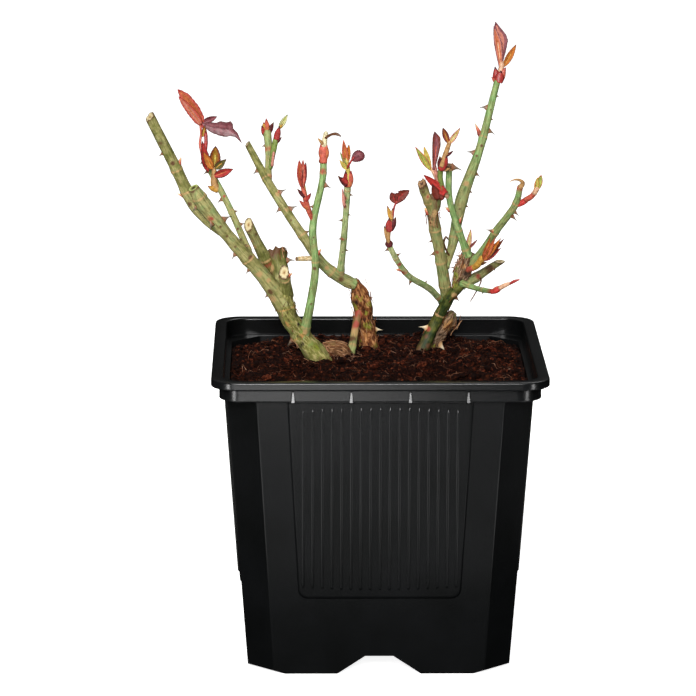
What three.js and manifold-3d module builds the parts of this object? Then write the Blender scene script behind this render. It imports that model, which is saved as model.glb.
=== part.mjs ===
// A young pruned rose bush in a square black nursery pot.
//
// Millimetres, +Z up. The origin is the centre of the pot's underside, on the
// small round pad that the pot stands on together with its four corner feet.
// +X is to the right and +Y away from whoever faces the pot's front.
//
// The bush is bare but for its first young leaves: three old stems rise from
// the compost, carry knotty stumps and green canes, and red shoots break from
// the canes. Each stem, cane, stump and shoot is a solid of its own, and each
// one stands a hair clear of the one that carries it.

import * as THREE from 'three';
import { mergeVertices } from 'three/addons/utils/BufferGeometryUtils.js';
import Module from 'manifold-3d';

const wasm = await Module();
wasm.setup();

// ---------------------------------------------------------------- driving sizes

const clearance = 0.3;          // between a piece and the one that carries it

const pot = {
  height: 173.8,
  rimSide: 190,                 // over the lip
  rimRound: 16,
  lipHeight: 4.8,
  collarSide: 181,              // the upright band under the lip
  collarRound: 14,
  collarBottom: 161.7,
  ledge: 2,
  mouthSide: 176,               // inside the lip and the collar
  mouthRound: 12,
  bodyTopSide: 173.2,
  baseSide: 149.6,
  baseChamfer: 15,
  wall: 1.6,
  floorTop: 12.3,
  floorUnder: 10.8,
};

const panel = {
  topHalf: 51.5,
  bottomHalf: 45.5,
  topZ: 157.5,
  bottomZ: 46,
  round: 5,
  proud: 1.2,
};

const ribs = {
  count: 17,
  reach: 43.4,                  // from the middle rib to the outermost
  width: 1.8,
  topZ: 156,
  bottomZ: 50.5,
  shorter: 1.6,                 // how much less the outermost reaches, at either end
  proud: 0.8,
};

const gusset = { places: [-49, -16.5, 16.5, 49], width: 2.4, gap: 0.4, depth: 2.4 };

const channel = { footHalf: 24, roofHalf: 8, pad: 13, drainRadius: 4.5, drainAt: 45 };

const cornerBevel = { start: 90.4, reach: 20, slope: 0.42 };  // start: from the middle, on the diagonal

const soil = {
  level: 160,                   // at the wall
  crown: 166,                   // round the stems
  crownX: 3,
  crownY: 26,
  reachX: 78,
  reachY: 52,
  lump: 1.6,
  cells: 16,
};

const bendStep = 7;             // a limb's length between two of its rings
const leafThickness = 0.5;

const finishes = {
  plastic: { color: 0x1b1d1d, roughness: 0.45 },
  compost: { color: 0x2c1712, roughness: 1.0 },
  greenBark: { color: 0x8d9c62, roughness: 0.6 },
  oldBark: { color: 0x8a6642, roughness: 0.85 },
  youngLeaf: { color: 0xa8483a, roughness: 0.5 },
};

// ---------------------------------------------------------------- solids

const group = new THREE.Group();
const standing = [];            // what later pieces keep clear of

function toSolid(geometry) {
  const bare = geometry.clone();
  bare.deleteAttribute('normal');
  bare.deleteAttribute('uv');
  const merged = mergeVertices(bare, 1e-4);
  const mesh = new wasm.Mesh({
    numProp: 3,
    vertProperties: new Float32Array(merged.attributes.position.array),
    triVerts: new Uint32Array(merged.index.array),
  });
  return new wasm.Manifold(mesh);
}

function toGeometry(solid) {
  const mesh = solid.getMesh();
  const geometry = new THREE.BufferGeometry();
  geometry.setAttribute('position', new THREE.BufferAttribute(mesh.vertProperties, 3));
  geometry.setIndex(new THREE.BufferAttribute(mesh.triVerts, 1));
  geometry.computeVertexNormals();
  return geometry;
}

function joined(solids) {
  return solids.reduce((whole, piece) => whole.add(piece));
}

function largestOf(solid) {
  const pieces = solid.decompose();
  return pieces.reduce((best, piece) => (piece.volume() > best.volume() ? piece : best));
}

function addNode(name, solid, finish) {
  const material = new THREE.MeshStandardMaterial({ ...finishes[finish], metalness: 0 });
  const mesh = new THREE.Mesh(toGeometry(solid), material);
  mesh.name = name;
  group.add(mesh);
}

function turned(geometry, quarter) {
  return geometry.clone().rotateZ(quarter * Math.PI / 2);
}

// Moves every vertex of a geometry to where place(x, y, z) says.
function reshaped(geometry, place) {
  const position = geometry.attributes.position;
  for (let i = 0; i < position.count; i += 1) {
    const [x, y, z] = place(position.getX(i), position.getY(i), position.getZ(i));
    position.setXYZ(i, x, y, z);
  }
  return geometry;
}

// ---------------------------------------------------------------- pot

function chamferedSquare(side, cut) {
  const half = side / 2;
  const shape = new THREE.Shape();
  shape.moveTo(half, cut - half);
  for (let quarter = 0; quarter < 4; quarter += 1) {
    const turn = new THREE.Vector2();
    const angle = quarter * Math.PI / 2;
    turn.set(half, half - cut).rotateAround(new THREE.Vector2(), angle);
    shape.lineTo(turn.x, turn.y);
    turn.set(half - cut, half).rotateAround(new THREE.Vector2(), angle);
    shape.lineTo(turn.x, turn.y);
  }
  return shape;
}

function roundedSquare(side, round) {
  const half = side / 2;
  const shape = new THREE.Shape();
  shape.moveTo(half, round - half);
  for (let quarter = 0; quarter < 4; quarter += 1) {
    const angle = quarter * Math.PI / 2;
    const centre = new THREE.Vector2(half - round, half - round);
    centre.rotateAround(new THREE.Vector2(), angle);
    shape.absarc(centre.x, centre.y, round, angle, angle + Math.PI / 2, false);
  }
  return shape;
}

function slab(shape, bottom, top) {
  const options = { depth: top - bottom, bevelEnabled: false, curveSegments: 5 };
  return new THREE.ExtrudeGeometry(shape, options).translate(0, 0, bottom);
}

// The pot's side at a height, when every wall leans out evenly.
function bodySide(z) {
  return pot.baseSide + (pot.bodyTopSide - pot.baseSide) * z / pot.collarBottom;
}

// An eight-sided block between two heights that leans as the pot's walls do.
function leaningBlock(bottom, top, inset) {
  const side = pot.baseSide - 2 * inset;
  const block = slab(chamferedSquare(side, pot.baseChamfer), bottom, top);
  return reshaped(block, (x, y, z) => {
    const scale = (bodySide(z) - 2 * inset) / side;
    return [x * scale, y * scale, z];
  });
}

// A flat piece drawn as (across, height), set on the front wall so that it
// stands proud of it by the depth given and is sunk a little into it.
function onFrontWall(shape, depth) {
  const sunk = pot.wall / 2;
  const options = { depth: sunk + depth, bevelEnabled: false, curveSegments: 3 };
  const piece = new THREE.ExtrudeGeometry(shape, options);
  return reshaped(piece, (x, y, z) => [x, sunk - z - bodySide(y) / 2, y]);
}

function panelShape() {
  const { topHalf, bottomHalf, topZ, bottomZ, round } = panel;
  const shape = new THREE.Shape();
  shape.moveTo(-topHalf, topZ);
  shape.lineTo(-bottomHalf, bottomZ + round);
  shape.quadraticCurveTo(-bottomHalf, bottomZ, round - bottomHalf, bottomZ);
  shape.lineTo(bottomHalf - round, bottomZ);
  shape.quadraticCurveTo(bottomHalf, bottomZ, bottomHalf, bottomZ + round);
  shape.lineTo(topHalf, topZ);
  return shape;
}

function upright(middle, width, bottom, top) {
  const shape = new THREE.Shape();
  shape.moveTo(middle - width / 2, bottom);
  shape.lineTo(middle + width / 2, bottom);
  shape.lineTo(middle + width / 2, top);
  shape.lineTo(middle - width / 2, top);
  return shape;
}

// One side's raised panel with its upright ribs, and the small buttresses that
// widen from under the lip to the collar's foot.
function frontDressing() {
  const pieces = [onFrontWall(panelShape(), panel.proud)];
  for (let i = 0; i < ribs.count; i += 1) {
    const across = 2 * i / (ribs.count - 1) - 1;
    const less = ribs.shorter * across * across;
    const shape = upright(ribs.reach * across, ribs.width, ribs.bottomZ + less, ribs.topZ - less);
    pieces.push(onFrontWall(shape, panel.proud + ribs.proud));
  }
  const face = -pot.collarSide / 2;
  const top = pot.height - pot.lipHeight - gusset.gap;
  const bottom = pot.collarBottom + gusset.gap;
  for (const place of gusset.places) {
    const web = new THREE.Shape();
    web.moveTo(1, top);
    web.lineTo(0, top);
    web.lineTo(-gusset.depth, bottom);
    web.lineTo(1, bottom);
    const options = { depth: gusset.width, bevelEnabled: false };
    const piece = new THREE.ExtrudeGeometry(web, options);
    const left = place - gusset.width / 2;
    pieces.push(reshaped(piece, (x, y, z) => [left + z, face + x, y]));
  }
  return pieces;
}

// The groove under the pot from front to back, wide at the foot.
function footChannel() {
  const { footHalf, roofHalf } = channel;
  const below = (footHalf - roofHalf) / pot.floorUnder;
  const shape = new THREE.Shape();
  shape.moveTo(-footHalf - below, -1);
  shape.lineTo(footHalf + below, -1);
  shape.lineTo(roofHalf, pot.floorUnder);
  shape.lineTo(-roofHalf, pot.floorUnder);
  const options = { depth: 2 * pot.baseSide, bevelEnabled: false };
  const groove = new THREE.ExtrudeGeometry(shape, options);
  return reshaped(groove, (x, y, z) => [x, pot.baseSide - z, y]);
}

// What is taken off under a corner, so that the foot rises towards it.
function cornerCut() {
  const { start, reach, slope } = cornerBevel;
  const wedge = new THREE.BoxGeometry(2 * reach, pot.baseSide, 2);
  return reshaped(wedge, (x, y, z) => {
    const out = x < 0 ? -reach / 4 : reach;
    return [start + out, y, z > 0 ? slope * out : -reach];
  }).rotateZ(Math.PI / 4);
}

function upstandingDisc(radius, sides, x, y, bottom, top) {
  const disc = new THREE.CylinderGeometry(radius, radius, top - bottom, sides);
  return disc.rotateX(Math.PI / 2).translate(x, y, (bottom + top) / 2);
}

function makePot() {
  const lipUnder = pot.height - pot.lipHeight;
  const outside = [
    leaningBlock(0, pot.collarBottom + 1, 0),
    slab(roundedSquare(pot.collarSide, pot.collarRound), pot.collarBottom, lipUnder + 1),
    slab(roundedSquare(pot.rimSide, pot.rimRound), lipUnder, pot.height),
  ];
  const dressing = frontDressing();
  for (let quarter = 0; quarter < 4; quarter += 1) {
    outside.push(...dressing.map((piece) => turned(piece, quarter)));
  }
  const mouthBottom = pot.collarBottom + pot.ledge;
  const inside = [
    leaningBlock(pot.floorTop, mouthBottom + 1, pot.wall),
    slab(roundedSquare(pot.mouthSide, pot.mouthRound), mouthBottom, pot.height + 1),
    footChannel(),
    turned(footChannel(), 1),
  ];
  for (let quarter = 0; quarter < 4; quarter += 1) {
    inside.push(turned(cornerCut(), quarter));
  }
  const pad = upstandingDisc(channel.pad, 24, 0, 0, 0, pot.floorUnder + 1);
  const drains = [];
  for (let quarter = 0; quarter < 4; quarter += 1) {
    const drain = upstandingDisc(channel.drainRadius, 12, channel.drainAt, 0, 9, 14);
    drains.push(turned(drain, quarter));
  }
  const shell = joined(outside.map(toSolid)).subtract(joined(inside.map(toSolid)));
  return shell.add(toSolid(pad)).subtract(joined(drains.map(toSolid)));
}

// ---------------------------------------------------------------- compost

// Heaped round the stems, flat where they stand, lumpy towards the wall.
function compostHeight(x, y) {
  const away = ((x - soil.crownX) / soil.reachX) ** 2 + ((y - soil.crownY) / soil.reachY) ** 2;
  const heap = 9 * Math.exp(-away * away);
  const lumps = Math.sin(x * 0.21 + y * 0.05) * Math.sin(y * 0.24 - x * 0.07)
    + 0.5 * Math.sin(x * 0.13 - y * 0.31);
  return Math.min(soil.level + heap + soil.lump * lumps, soil.crown);
}

function makeCompost() {
  const bottom = pot.floorTop + clearance;
  const top = soil.level + 10;
  const across = pot.bodyTopSide;
  const deep = top - bottom + 2;
  const bed = new THREE.BoxGeometry(across, across, deep, soil.cells, soil.cells, 1);
  reshaped(bed, (x, y, z) => [x, y, z > 0 ? compostHeight(x, y) : bottom - 1]);
  const room = leaningBlock(bottom, top, pot.wall + clearance);
  return toSolid(bed).intersect(toSolid(room));
}

// ---------------------------------------------------------------- limbs

// A round limb through a few points, with a diameter at each of them.
class Limb {
  constructor({ path, thick }) {
    this.curve = new THREE.CatmullRomCurve3(path.map((point) => new THREE.Vector3(...point)));
    this.thick = thick;
    this.length = this.curve.getLength();
  }

  diameterAt(along) {
    const reach = this.curve.getUtoTmapping(along) * (this.thick.length - 1);
    const before = Math.min(Math.floor(reach), this.thick.length - 2);
    const share = reach - before;
    return this.thick[before] * (1 - share) + this.thick[before + 1] * share;
  }

  // A straight closed cylinder is bent along the curve; grown limbs are thicker
  // and longer by the same amount all round.
  tube(grown, sides) {
    const steps = Math.max(2, Math.round(this.length / bendStep));
    const frames = this.curve.computeFrenetFrames(steps, false);
    const straight = new THREE.CylinderGeometry(1, 1, 1, sides, steps);
    return reshaped(straight, (x, y, z) => {
      const step = Math.round((y + 0.5) * steps);
      const along = step / steps;
      const radius = this.diameterAt(along) / 2 + grown;
      const place = this.curve.getPointAt(along);
      const past = (step === steps ? grown : 0) - (step === 0 ? grown : 0);
      place.addScaledVector(frames.binormals[step], x * radius);
      place.addScaledVector(frames.normals[step], z * radius);
      place.addScaledVector(frames.tangents[step], past);
      return [place.x, place.y, place.z];
    });
  }

  // Where something grows from the bark: around is 0 on the right as seen from
  // the front, 90 behind, 180 on the left and 270 in front.
  spot(along, around) {
    const tangent = this.curve.getTangentAt(along);
    const right = new THREE.Vector3(0, 1, 0).cross(tangent).normalize();
    const behind = tangent.clone().cross(right);
    const angle = THREE.MathUtils.degToRad(around);
    const outward = right.multiplyScalar(Math.cos(angle)).addScaledVector(behind, Math.sin(angle));
    const centre = this.curve.getPointAt(along);
    const radius = this.diameterAt(along) / 2;
    return { centre, radius, outward, tangent };
  }
}

function sidesFor(thick) {
  const widest = Math.max(...thick);
  if (widest > 6.5) {
    return 10;
  }
  return widest > 3.2 ? 8 : 6;
}

// A prickle: a small four-sided spike, sunk in the bark, its point a little down.
function prickle(limb, along, around, length) {
  const { centre, radius, outward, tangent } = limb.spot(along, around);
  const spike = new THREE.ConeGeometry(length * 0.36, length + 1, 4);
  const aim = outward.clone().addScaledVector(tangent, -0.25).normalize();
  spike.applyQuaternion(new THREE.Quaternion().setFromUnitVectors(new THREE.Vector3(0, 1, 0), aim));
  const middle = centre.addScaledVector(outward, radius - 1).addScaledVector(aim, (length + 1) / 2);
  return spike.translate(middle.x, middle.y, middle.z);
}

// A sleeping or swelling bud: a short pointed body that leans up along the cane.
function bud(limb, along, around, length, width) {
  const { centre, radius, outward, tangent } = limb.spot(along, around);
  const root = centre.addScaledVector(outward, radius * 0.5);
  const tip = root.clone().addScaledVector(outward, length * 0.62).addScaledVector(tangent, length * 0.78);
  return bluntPod(root.toArray(), tip.toArray(), width);
}

function bluntPod(root, tip, width) {
  const middle = root.map((value, i) => value * 0.55 + tip[i] * 0.45);
  const pod = new Limb({ path: [root, middle, tip], thick: [width * 0.6, width, width * 0.25] });
  return pod.tube(0, 6);
}

// A leaf blade between two points: broadest below its middle, folded along its
// midrib, curling towards the tip, and showing its face to the direction given.
function leafBlade({ base, tip, width, face = [0, -1, 0], fold = 0.5, curl = 0.12 }) {
  const root = new THREE.Vector3(...base);
  const along = new THREE.Vector3(...tip).sub(root);
  const length = along.length();
  along.normalize();
  const across = along.clone().cross(new THREE.Vector3(...face)).normalize();
  const outward = across.clone().cross(along);
  const blade = new THREE.BoxGeometry(1, 1, 1, 2, 4, 1);
  return reshaped(blade, (x, y, z) => {
    const share = y + 0.5;
    const spread = width * Math.max(0.12, Math.sin(Math.PI * share ** 0.8));
    const lift = fold * Math.abs(x) * spread + curl * length * share * (share - 1);
    const place = root.clone().addScaledVector(along, share * length);
    place.addScaledVector(across, x * spread);
    place.addScaledVector(outward, z * leafThickness + lift);
    return place.toArray();
  });
}

function cutClear(solid) {
  return largestOf(standing.reduce((left, other) => left.subtract(other), solid));
}

// One stem, cane or stump. A rooted one starts under the compost and is cut
// flat just above it; any other starts inside the limb that carries it.
function cane(name, spec) {
  const { thick, rooted, prickles = [], buds = [], finish = 'greenBark' } = spec;
  const limb = new Limb(spec);
  const sides = sidesFor(thick);
  const pieces = [limb.tube(0, sides)];
  for (const [along, around, length = 3] of prickles) {
    pieces.push(prickle(limb, along, around, length));
  }
  for (const [along, around, length, width] of buds) {
    pieces.push(bud(limb, along, around, length, width));
  }
  let solid = joined(pieces.map(toSolid));
  if (rooted) {
    const ground = new THREE.BoxGeometry(pot.rimSide, pot.rimSide, 40);
    solid = solid.subtract(toSolid(ground.translate(0, 0, soil.crown + clearance - 20)));
  }
  addNode(name, cutClear(solid), finish);
  standing.push(toSolid(limb.tube(clearance, sides)));
}

// A young shoot: its stems, the scales and sheaths at its foot, and its leaves.
function shoot(name, { stems = [], pods = [], leaves = [] }) {
  const limbs = stems.map((spec) => new Limb(spec));
  const pieces = [
    ...limbs.map((limb) => limb.tube(0, 6)),
    ...pods.map(([root, tip, width]) => bluntPod(root, tip, width)),
    ...leaves.map(leafBlade),
  ];
  addNode(name, cutClear(joined(pieces.map(toSolid))), 'youngLeaf');
  standing.push(...limbs.map((limb) => toSolid(limb.tube(clearance, 6))));
}

// ---------------------------------------------------------------- the left stem

function leftStem() {
  cane('left_stem', {
    rooted: true,
    path: [[-27, 6, 160], [-45.5, 7, 181.5], [-52.5, 5, 195], [-54.5, 4, 206]],
    thick: [12, 10.5, 10.8, 10.5],
  });
  cane('graft_burl', {
    rooted: true,
    path: [[-35, 20, 167], [-26, 22, 168.5], [-18, 21, 167]],
    thick: [8, 9, 7],
    finish: 'oldBark',
  });
  cane('left_stump', {
    path: [[-54.5, 4, 206], [-57.5, 7, 215.5], [-60.5, 10, 224.5], [-61.5, 12, 230]],
    thick: [10, 9, 12, 11],
    prickles: [[0.8, 0, 4], [0.97, 330, 2.5], [0.97, 160, 2.5]],
    finish: 'oldBark',
  });
  cane('left_stump_stub', {
    path: [[-63, 10, 221.5], [-69.5, 2, 235.5], [-74.5, -6, 247.5]],
    thick: [6.2, 5.6, 5.6],
  });
  cane('left_cut_stub', {
    path: [[-53, 4, 204], [-53.5, -5, 212], [-54, -10, 221.5]],
    thick: [6.5, 6, 6.2],
    buds: [[0.88, 340, 6, 2.4]],
  });
  cane('left_cane', {
    path: [[-54, 5, 198.5], [-65.5, -2, 216], [-86.5, -12, 242.5], [-99.5, -20, 261.5], [-105.5, -24, 272]],
    thick: [9.6, 8, 7.4, 8, 5.6],
    prickles: [[0.3, 190], [0.43, 200, 3.5], [0.68, 355, 4], [0.78, 240, 3.5], [0.55, 80], [0.2, 100]],
    buds: [[0.12, 190, 7, 2.6], [0.9, 15, 4.5, 2]],
  });
  cane('left_top_cane', {
    path: [[-97.5, -15, 249.5], [-104, -15, 258.5], [-116, -21, 284], [-129.5, -36, 314.5]],
    thick: [7.6, 7, 6.6, 5.6],
    prickles: [[0.18, 180], [0.62, 185], [0.75, 90]],
    buds: [[0.24, 180, 7, 2], [0.52, 355, 7, 2.8]],
  });
  cane('left_side_cane', {
    path: [[-74, -4, 228], [-78, 8, 237.5], [-88, 24, 257], [-97, 38, 271.5], [-101, 43, 278.5]],
    thick: [4.6, 3.8, 3.6, 3.4, 3.2],
    prickles: [[0.3, 0, 2.5], [0.45, 10, 2.5], [0.6, 180], [0.88, 190, 2.5]],
  });
  shoot('left_leaf_shoot', {
    stems: [{ path: [[-91, 30, 262], [-94.5, 30, 265.5], [-95, 29, 276]], thick: [3.6, 3.2, 2.6] }],
    pods: [[[-95.5, 30, 263], [-94.5, 29, 268], 4.4]],
    leaves: [
      { base: [-95.5, 29, 273], tip: [-100.5, 26, 292.5], width: 4.2 },
      { base: [-95, 29, 274], tip: [-98.5, 23, 288], width: 4 },
      { base: [-94.5, 28, 274], tip: [-93, 23, 288.5], width: 6.4 },
      { base: [-94.5, 28, 274], tip: [-87.5, 24, 282], width: 3.6 },
      { base: [-95, 28, 272], tip: [-83.5, 22, 276], width: 5.4 },
    ],
  });
  shoot('left_tip_leaves', {
    stems: [{
      path: [[-101, 43, 278.5], [-102.5, 45, 285], [-101.5, 46, 290], [-103, 46, 299]],
      thick: [2.6, 2.4, 2.2, 1.8],
    }],
    leaves: [
      { base: [-103, 46, 297], tip: [-115.5, 38, 319.5], width: 8.6, fold: 0.8 },
      { base: [-103, 46, 298.5], tip: [-78.5, 38, 288], width: 8.4, curl: -0.12 },
      { base: [-101.5, 46, 291], tip: [-98.5, 44, 298], width: 2 },
    ],
  });
}

function slimCanes() {
  cane('slim_cane', {
    path: [
      [-43, 6, 179], [-38.5, 1, 202], [-36, -4, 222.5], [-37.5, -8, 246.5],
      [-32, -12, 275.5], [-31.5, -13, 293],
    ],
    thick: [5, 4.6, 4.4, 4.2, 3.7, 3.8],
    prickles: [[0.88, 350, 3.5], [0.35, 90, 2.5], [0.7, 180, 2.5]],
    buds: [[0.43, 20, 4, 2.2], [0.62, 90, 4, 2]],
  });
  cane('slim_spur', {
    path: [[-36, -3.5, 227.5], [-47, -9, 228]],
    thick: [2.4, 2.2],
    finish: 'oldBark',
  });
  shoot('slim_cane_tip', {
    stems: [
      { path: [[-31.5, -13, 292], [-31, -13, 296], [-30, -14, 302.5]], thick: [4.4, 3.4, 2.6] },
      { path: [[-30.5, -14, 299.5], [-26, -18, 302], [-22, -20, 301.5]], thick: [1.8, 1.8, 1] },
      { path: [[-31.5, -13.5, 296], [-35, -16, 299.5]], thick: [2, 1.2] },
    ],
  });
  shoot('red_shoot', {
    stems: [{
      path: [[-37.5, -8.5, 248], [-41, -13, 259.5], [-43.5, -18, 272]],
      thick: [3.4, 3, 2.6],
    }],
    pods: [[[-41, -14, 260], [-45.5, -17, 264], 2], [[-42, -16, 265], [-39, -19, 269], 2]],
    leaves: [
      { base: [-43.5, -18, 270], tip: [-44.5, -21, 287.5], width: 4.8, fold: 0.8 },
      { base: [-43, -17, 265], tip: [-47, -19, 270.5], width: 2.2 },
    ],
  });
}

// ---------------------------------------------------------------- the middle stem

function middleStem() {
  cane('middle_leg', {
    rooted: true,
    path: [[-16.5, 13, 161], [-13.5, 25, 174], [-12.5, 30, 179.5], [-9.5, 36, 188]],
    thick: [4.6, 4.4, 4.4, 5],
  });
  cane('middle_stump', {
    rooted: true,
    path: [[-3, 41.5, 160], [-6.5, 40, 181], [-9, 36, 195.5], [-12.5, 33, 206]],
    thick: [11, 10.5, 10, 9.5],
    prickles: [[0.38, 0, 3], [0.75, 10, 2.5]],
    finish: 'oldBark',
  });
  cane('middle_cane', {
    path: [[-14.5, 33, 204], [-30, 26, 216.5], [-45, 25, 238], [-63.5, 42, 264.5], [-75.5, 56, 284.5]],
    thick: [8, 6, 5.2, 4.8, 3.7],
    prickles: [[0.4, 0, 2.5], [0.57, 0, 4.5], [0.62, 200, 3], [0.7, 355, 3.5], [0.87, 185, 3.5]],
  });
  cane('middle_fork_cane', {
    path: [[-63.5, 42, 265], [-63, 48, 282], [-63.5, 52, 294]],
    thick: [3.8, 4, 4.4],
    prickles: [[0.45, 0, 1.6], [0.75, 180, 1.6]],
  });
  shoot('middle_fork_tip', {
    stems: [{ path: [[-63.5, 52, 294], [-64, 52, 298]], thick: [4, 2.4] }],
    leaves: [
      { base: [-64, 52, 295], tip: [-67, 49, 297.5], width: 3.4 },
      { base: [-64, 52, 296], tip: [-64.5, 51, 302], width: 2.6 },
      { base: [-63, 52, 296], tip: [-59.5, 50, 300.5], width: 2.6 },
    ],
  });
  shoot('middle_fork_shoot', {
    stems: [{
      path: [[-62.5, 43, 270], [-60.5, 39, 280], [-59, 38.5, 290], [-57, 39, 298]],
      thick: [3.2, 3.2, 3.2, 2],
    }],
    pods: [[[-59.5, 39, 288], [-57, 39, 297], 4.2]],
    leaves: [{ base: [-57.5, 39, 295], tip: [-52, 37, 304.5], width: 3.6 }],
  });
  cane('middle_side_cane', {
    path: [[-21.5, 30, 211], [-20, 18, 228], [-18.5, 4, 251.5], [-17.5, -6, 272]],
    thick: [4, 3.6, 3.5, 3.6],
    prickles: [[0.3, 0, 2], [0.42, 180, 2], [0.66, 0, 1.8], [0.86, 0, 2.2]],
  });
  shoot('middle_leaf_tuft', {
    stems: [
      { path: [[-17.5, -6, 271], [-17.5, -8, 278], [-18.5, -11, 287]], thick: [4.2, 3, 2.2] },
      { path: [[-18, -10, 283], [-16, -12, 287], [-14.5, -12, 289]], thick: [1.4, 1.2, 1.2] },
    ],
    pods: [[[-17.5, -6.5, 271], [-18, -8.5, 280], 5]],
    leaves: [
      { base: [-18, -8, 272.5], tip: [-23.5, -11, 277.5], width: 3.2 },
      { base: [-18.5, -11, 284], tip: [-19.5, -15, 299], width: 3.8, fold: 0.8 },
      { base: [-18, -10, 284.5], tip: [-17, -12, 296], width: 2.8, fold: 0.8 },
      { base: [-18, -10, 280], tip: [-22.5, -14, 290], width: 2.6 },
      { base: [-16, -12, 289], tip: [-8, -17, 289], width: 7, curl: 0.25 },
    ],
  });
}

// ---------------------------------------------------------------- the right stem

function rightStem() {
  cane('right_stem', {
    rooted: true,
    path: [[23.5, 25, 160], [34.5, 29, 183], [42.5, 24, 199], [50, 20, 209.5]],
    thick: [7.4, 6.2, 6, 6.4],
    prickles: [[0.42, 180, 4], [0.8, 0, 2.5]],
  });
  cane('right_old_stump', {
    rooted: true,
    path: [[28, 36.5, 160], [38, 36, 176.5], [44.5, 33, 187]],
    thick: [6.8, 7, 8.4],
    prickles: [[0.5, 350, 4]],
    finish: 'oldBark',
  });
  cane('right_cane', {
    path: [[40.5, 25, 195], [39, 22, 209.5], [35.5, 13, 230.5], [31.5, 3, 252], [32.5, 0, 262]],
    thick: [6.4, 6.8, 6.4, 6.4, 7],
    prickles: [[0.5, 180, 2.5], [0.62, 185, 2.5], [0.3, 90, 2.5]],
    buds: [[0.78, 180, 4, 3]],
  });
  cane('right_cane_stub', {
    path: [[31, 2, 255], [24.5, -7, 271.5]],
    thick: [4.4, 3.8],
  });
  cane('right_bow_cane', {
    path: [[41, 25, 195.5], [31, 14, 205.5], [16.5, -8, 219], [7.5, -22, 235], [6, -24, 239]],
    thick: [4.6, 3.8, 3.3, 3, 2.8],
    prickles: [[0.28, 20, 2], [0.55, 200, 3], [0.82, 20, 2.5], [0.92, 185, 2.5]],
    buds: [[0.68, 190, 4, 2]],
  });
  shoot('right_bow_shoot', {
    stems: [
      { path: [[6, -24, 239], [5.5, -26, 244], [5.5, -28, 250], [6.5, -31, 261]], thick: [3, 2.6, 2.6, 1.8] },
      { path: [[6.5, -31, 260], [8, -33, 263], [9, -33.5, 265.5]], thick: [1.2, 1.1, 1.1] },
    ],
    pods: [[[5.5, -28, 248], [6.5, -30, 256.5], 4.8], [[6, -24, 239], [5.5, -26, 244], 3.8]],
    leaves: [
      { base: [5, -27, 242], tip: [3.2, -28, 249], width: 1.8 },
      { base: [6, -31, 256], tip: [4, -33, 263], width: 2 },
      { base: [8.5, -33, 264], tip: [6.5, -36, 272.5], width: 4.2 },
      { base: [8.5, -33, 264], tip: [17, -38, 273.5], width: 5.4 },
    ],
  });
  cane('right_tall_cane', {
    path: [[39, 19, 218.5], [43, 26, 226.5], [49.5, 38, 254], [60.5, 55, 281.5], [71.5, 72, 320]],
    thick: [4.6, 4.8, 6.8, 4.8, 3.8],
    prickles: [[0.33, 0, 1.8], [0.5, 0, 2], [0.55, 0, 1.8], [0.68, 180, 2.4], [0.75, 0, 3.5], [0.88, 185, 3.4]],
    buds: [[0.66, 170, 8, 3]],
  });
  shoot('right_tall_leaves', {
    stems: [{ path: [[71.5, 72, 320], [73.5, 75, 328.5]], thick: [3.6, 2.8] }],
    pods: [[[71.5, 72.5, 319], [74, 75, 329.5], 6.4]],
    leaves: [
      { base: [72, 72, 318], tip: [68, 70, 323], width: 2.8 },
      { base: [73.5, 75, 326], tip: [70.5, 80, 353.5], width: 8.4, curl: 0.1, fold: 0.8 },
      { base: [74, 75, 326.5], tip: [82.5, 72, 341], width: 4.6, fold: 0.8 },
    ],
  });
}

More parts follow.
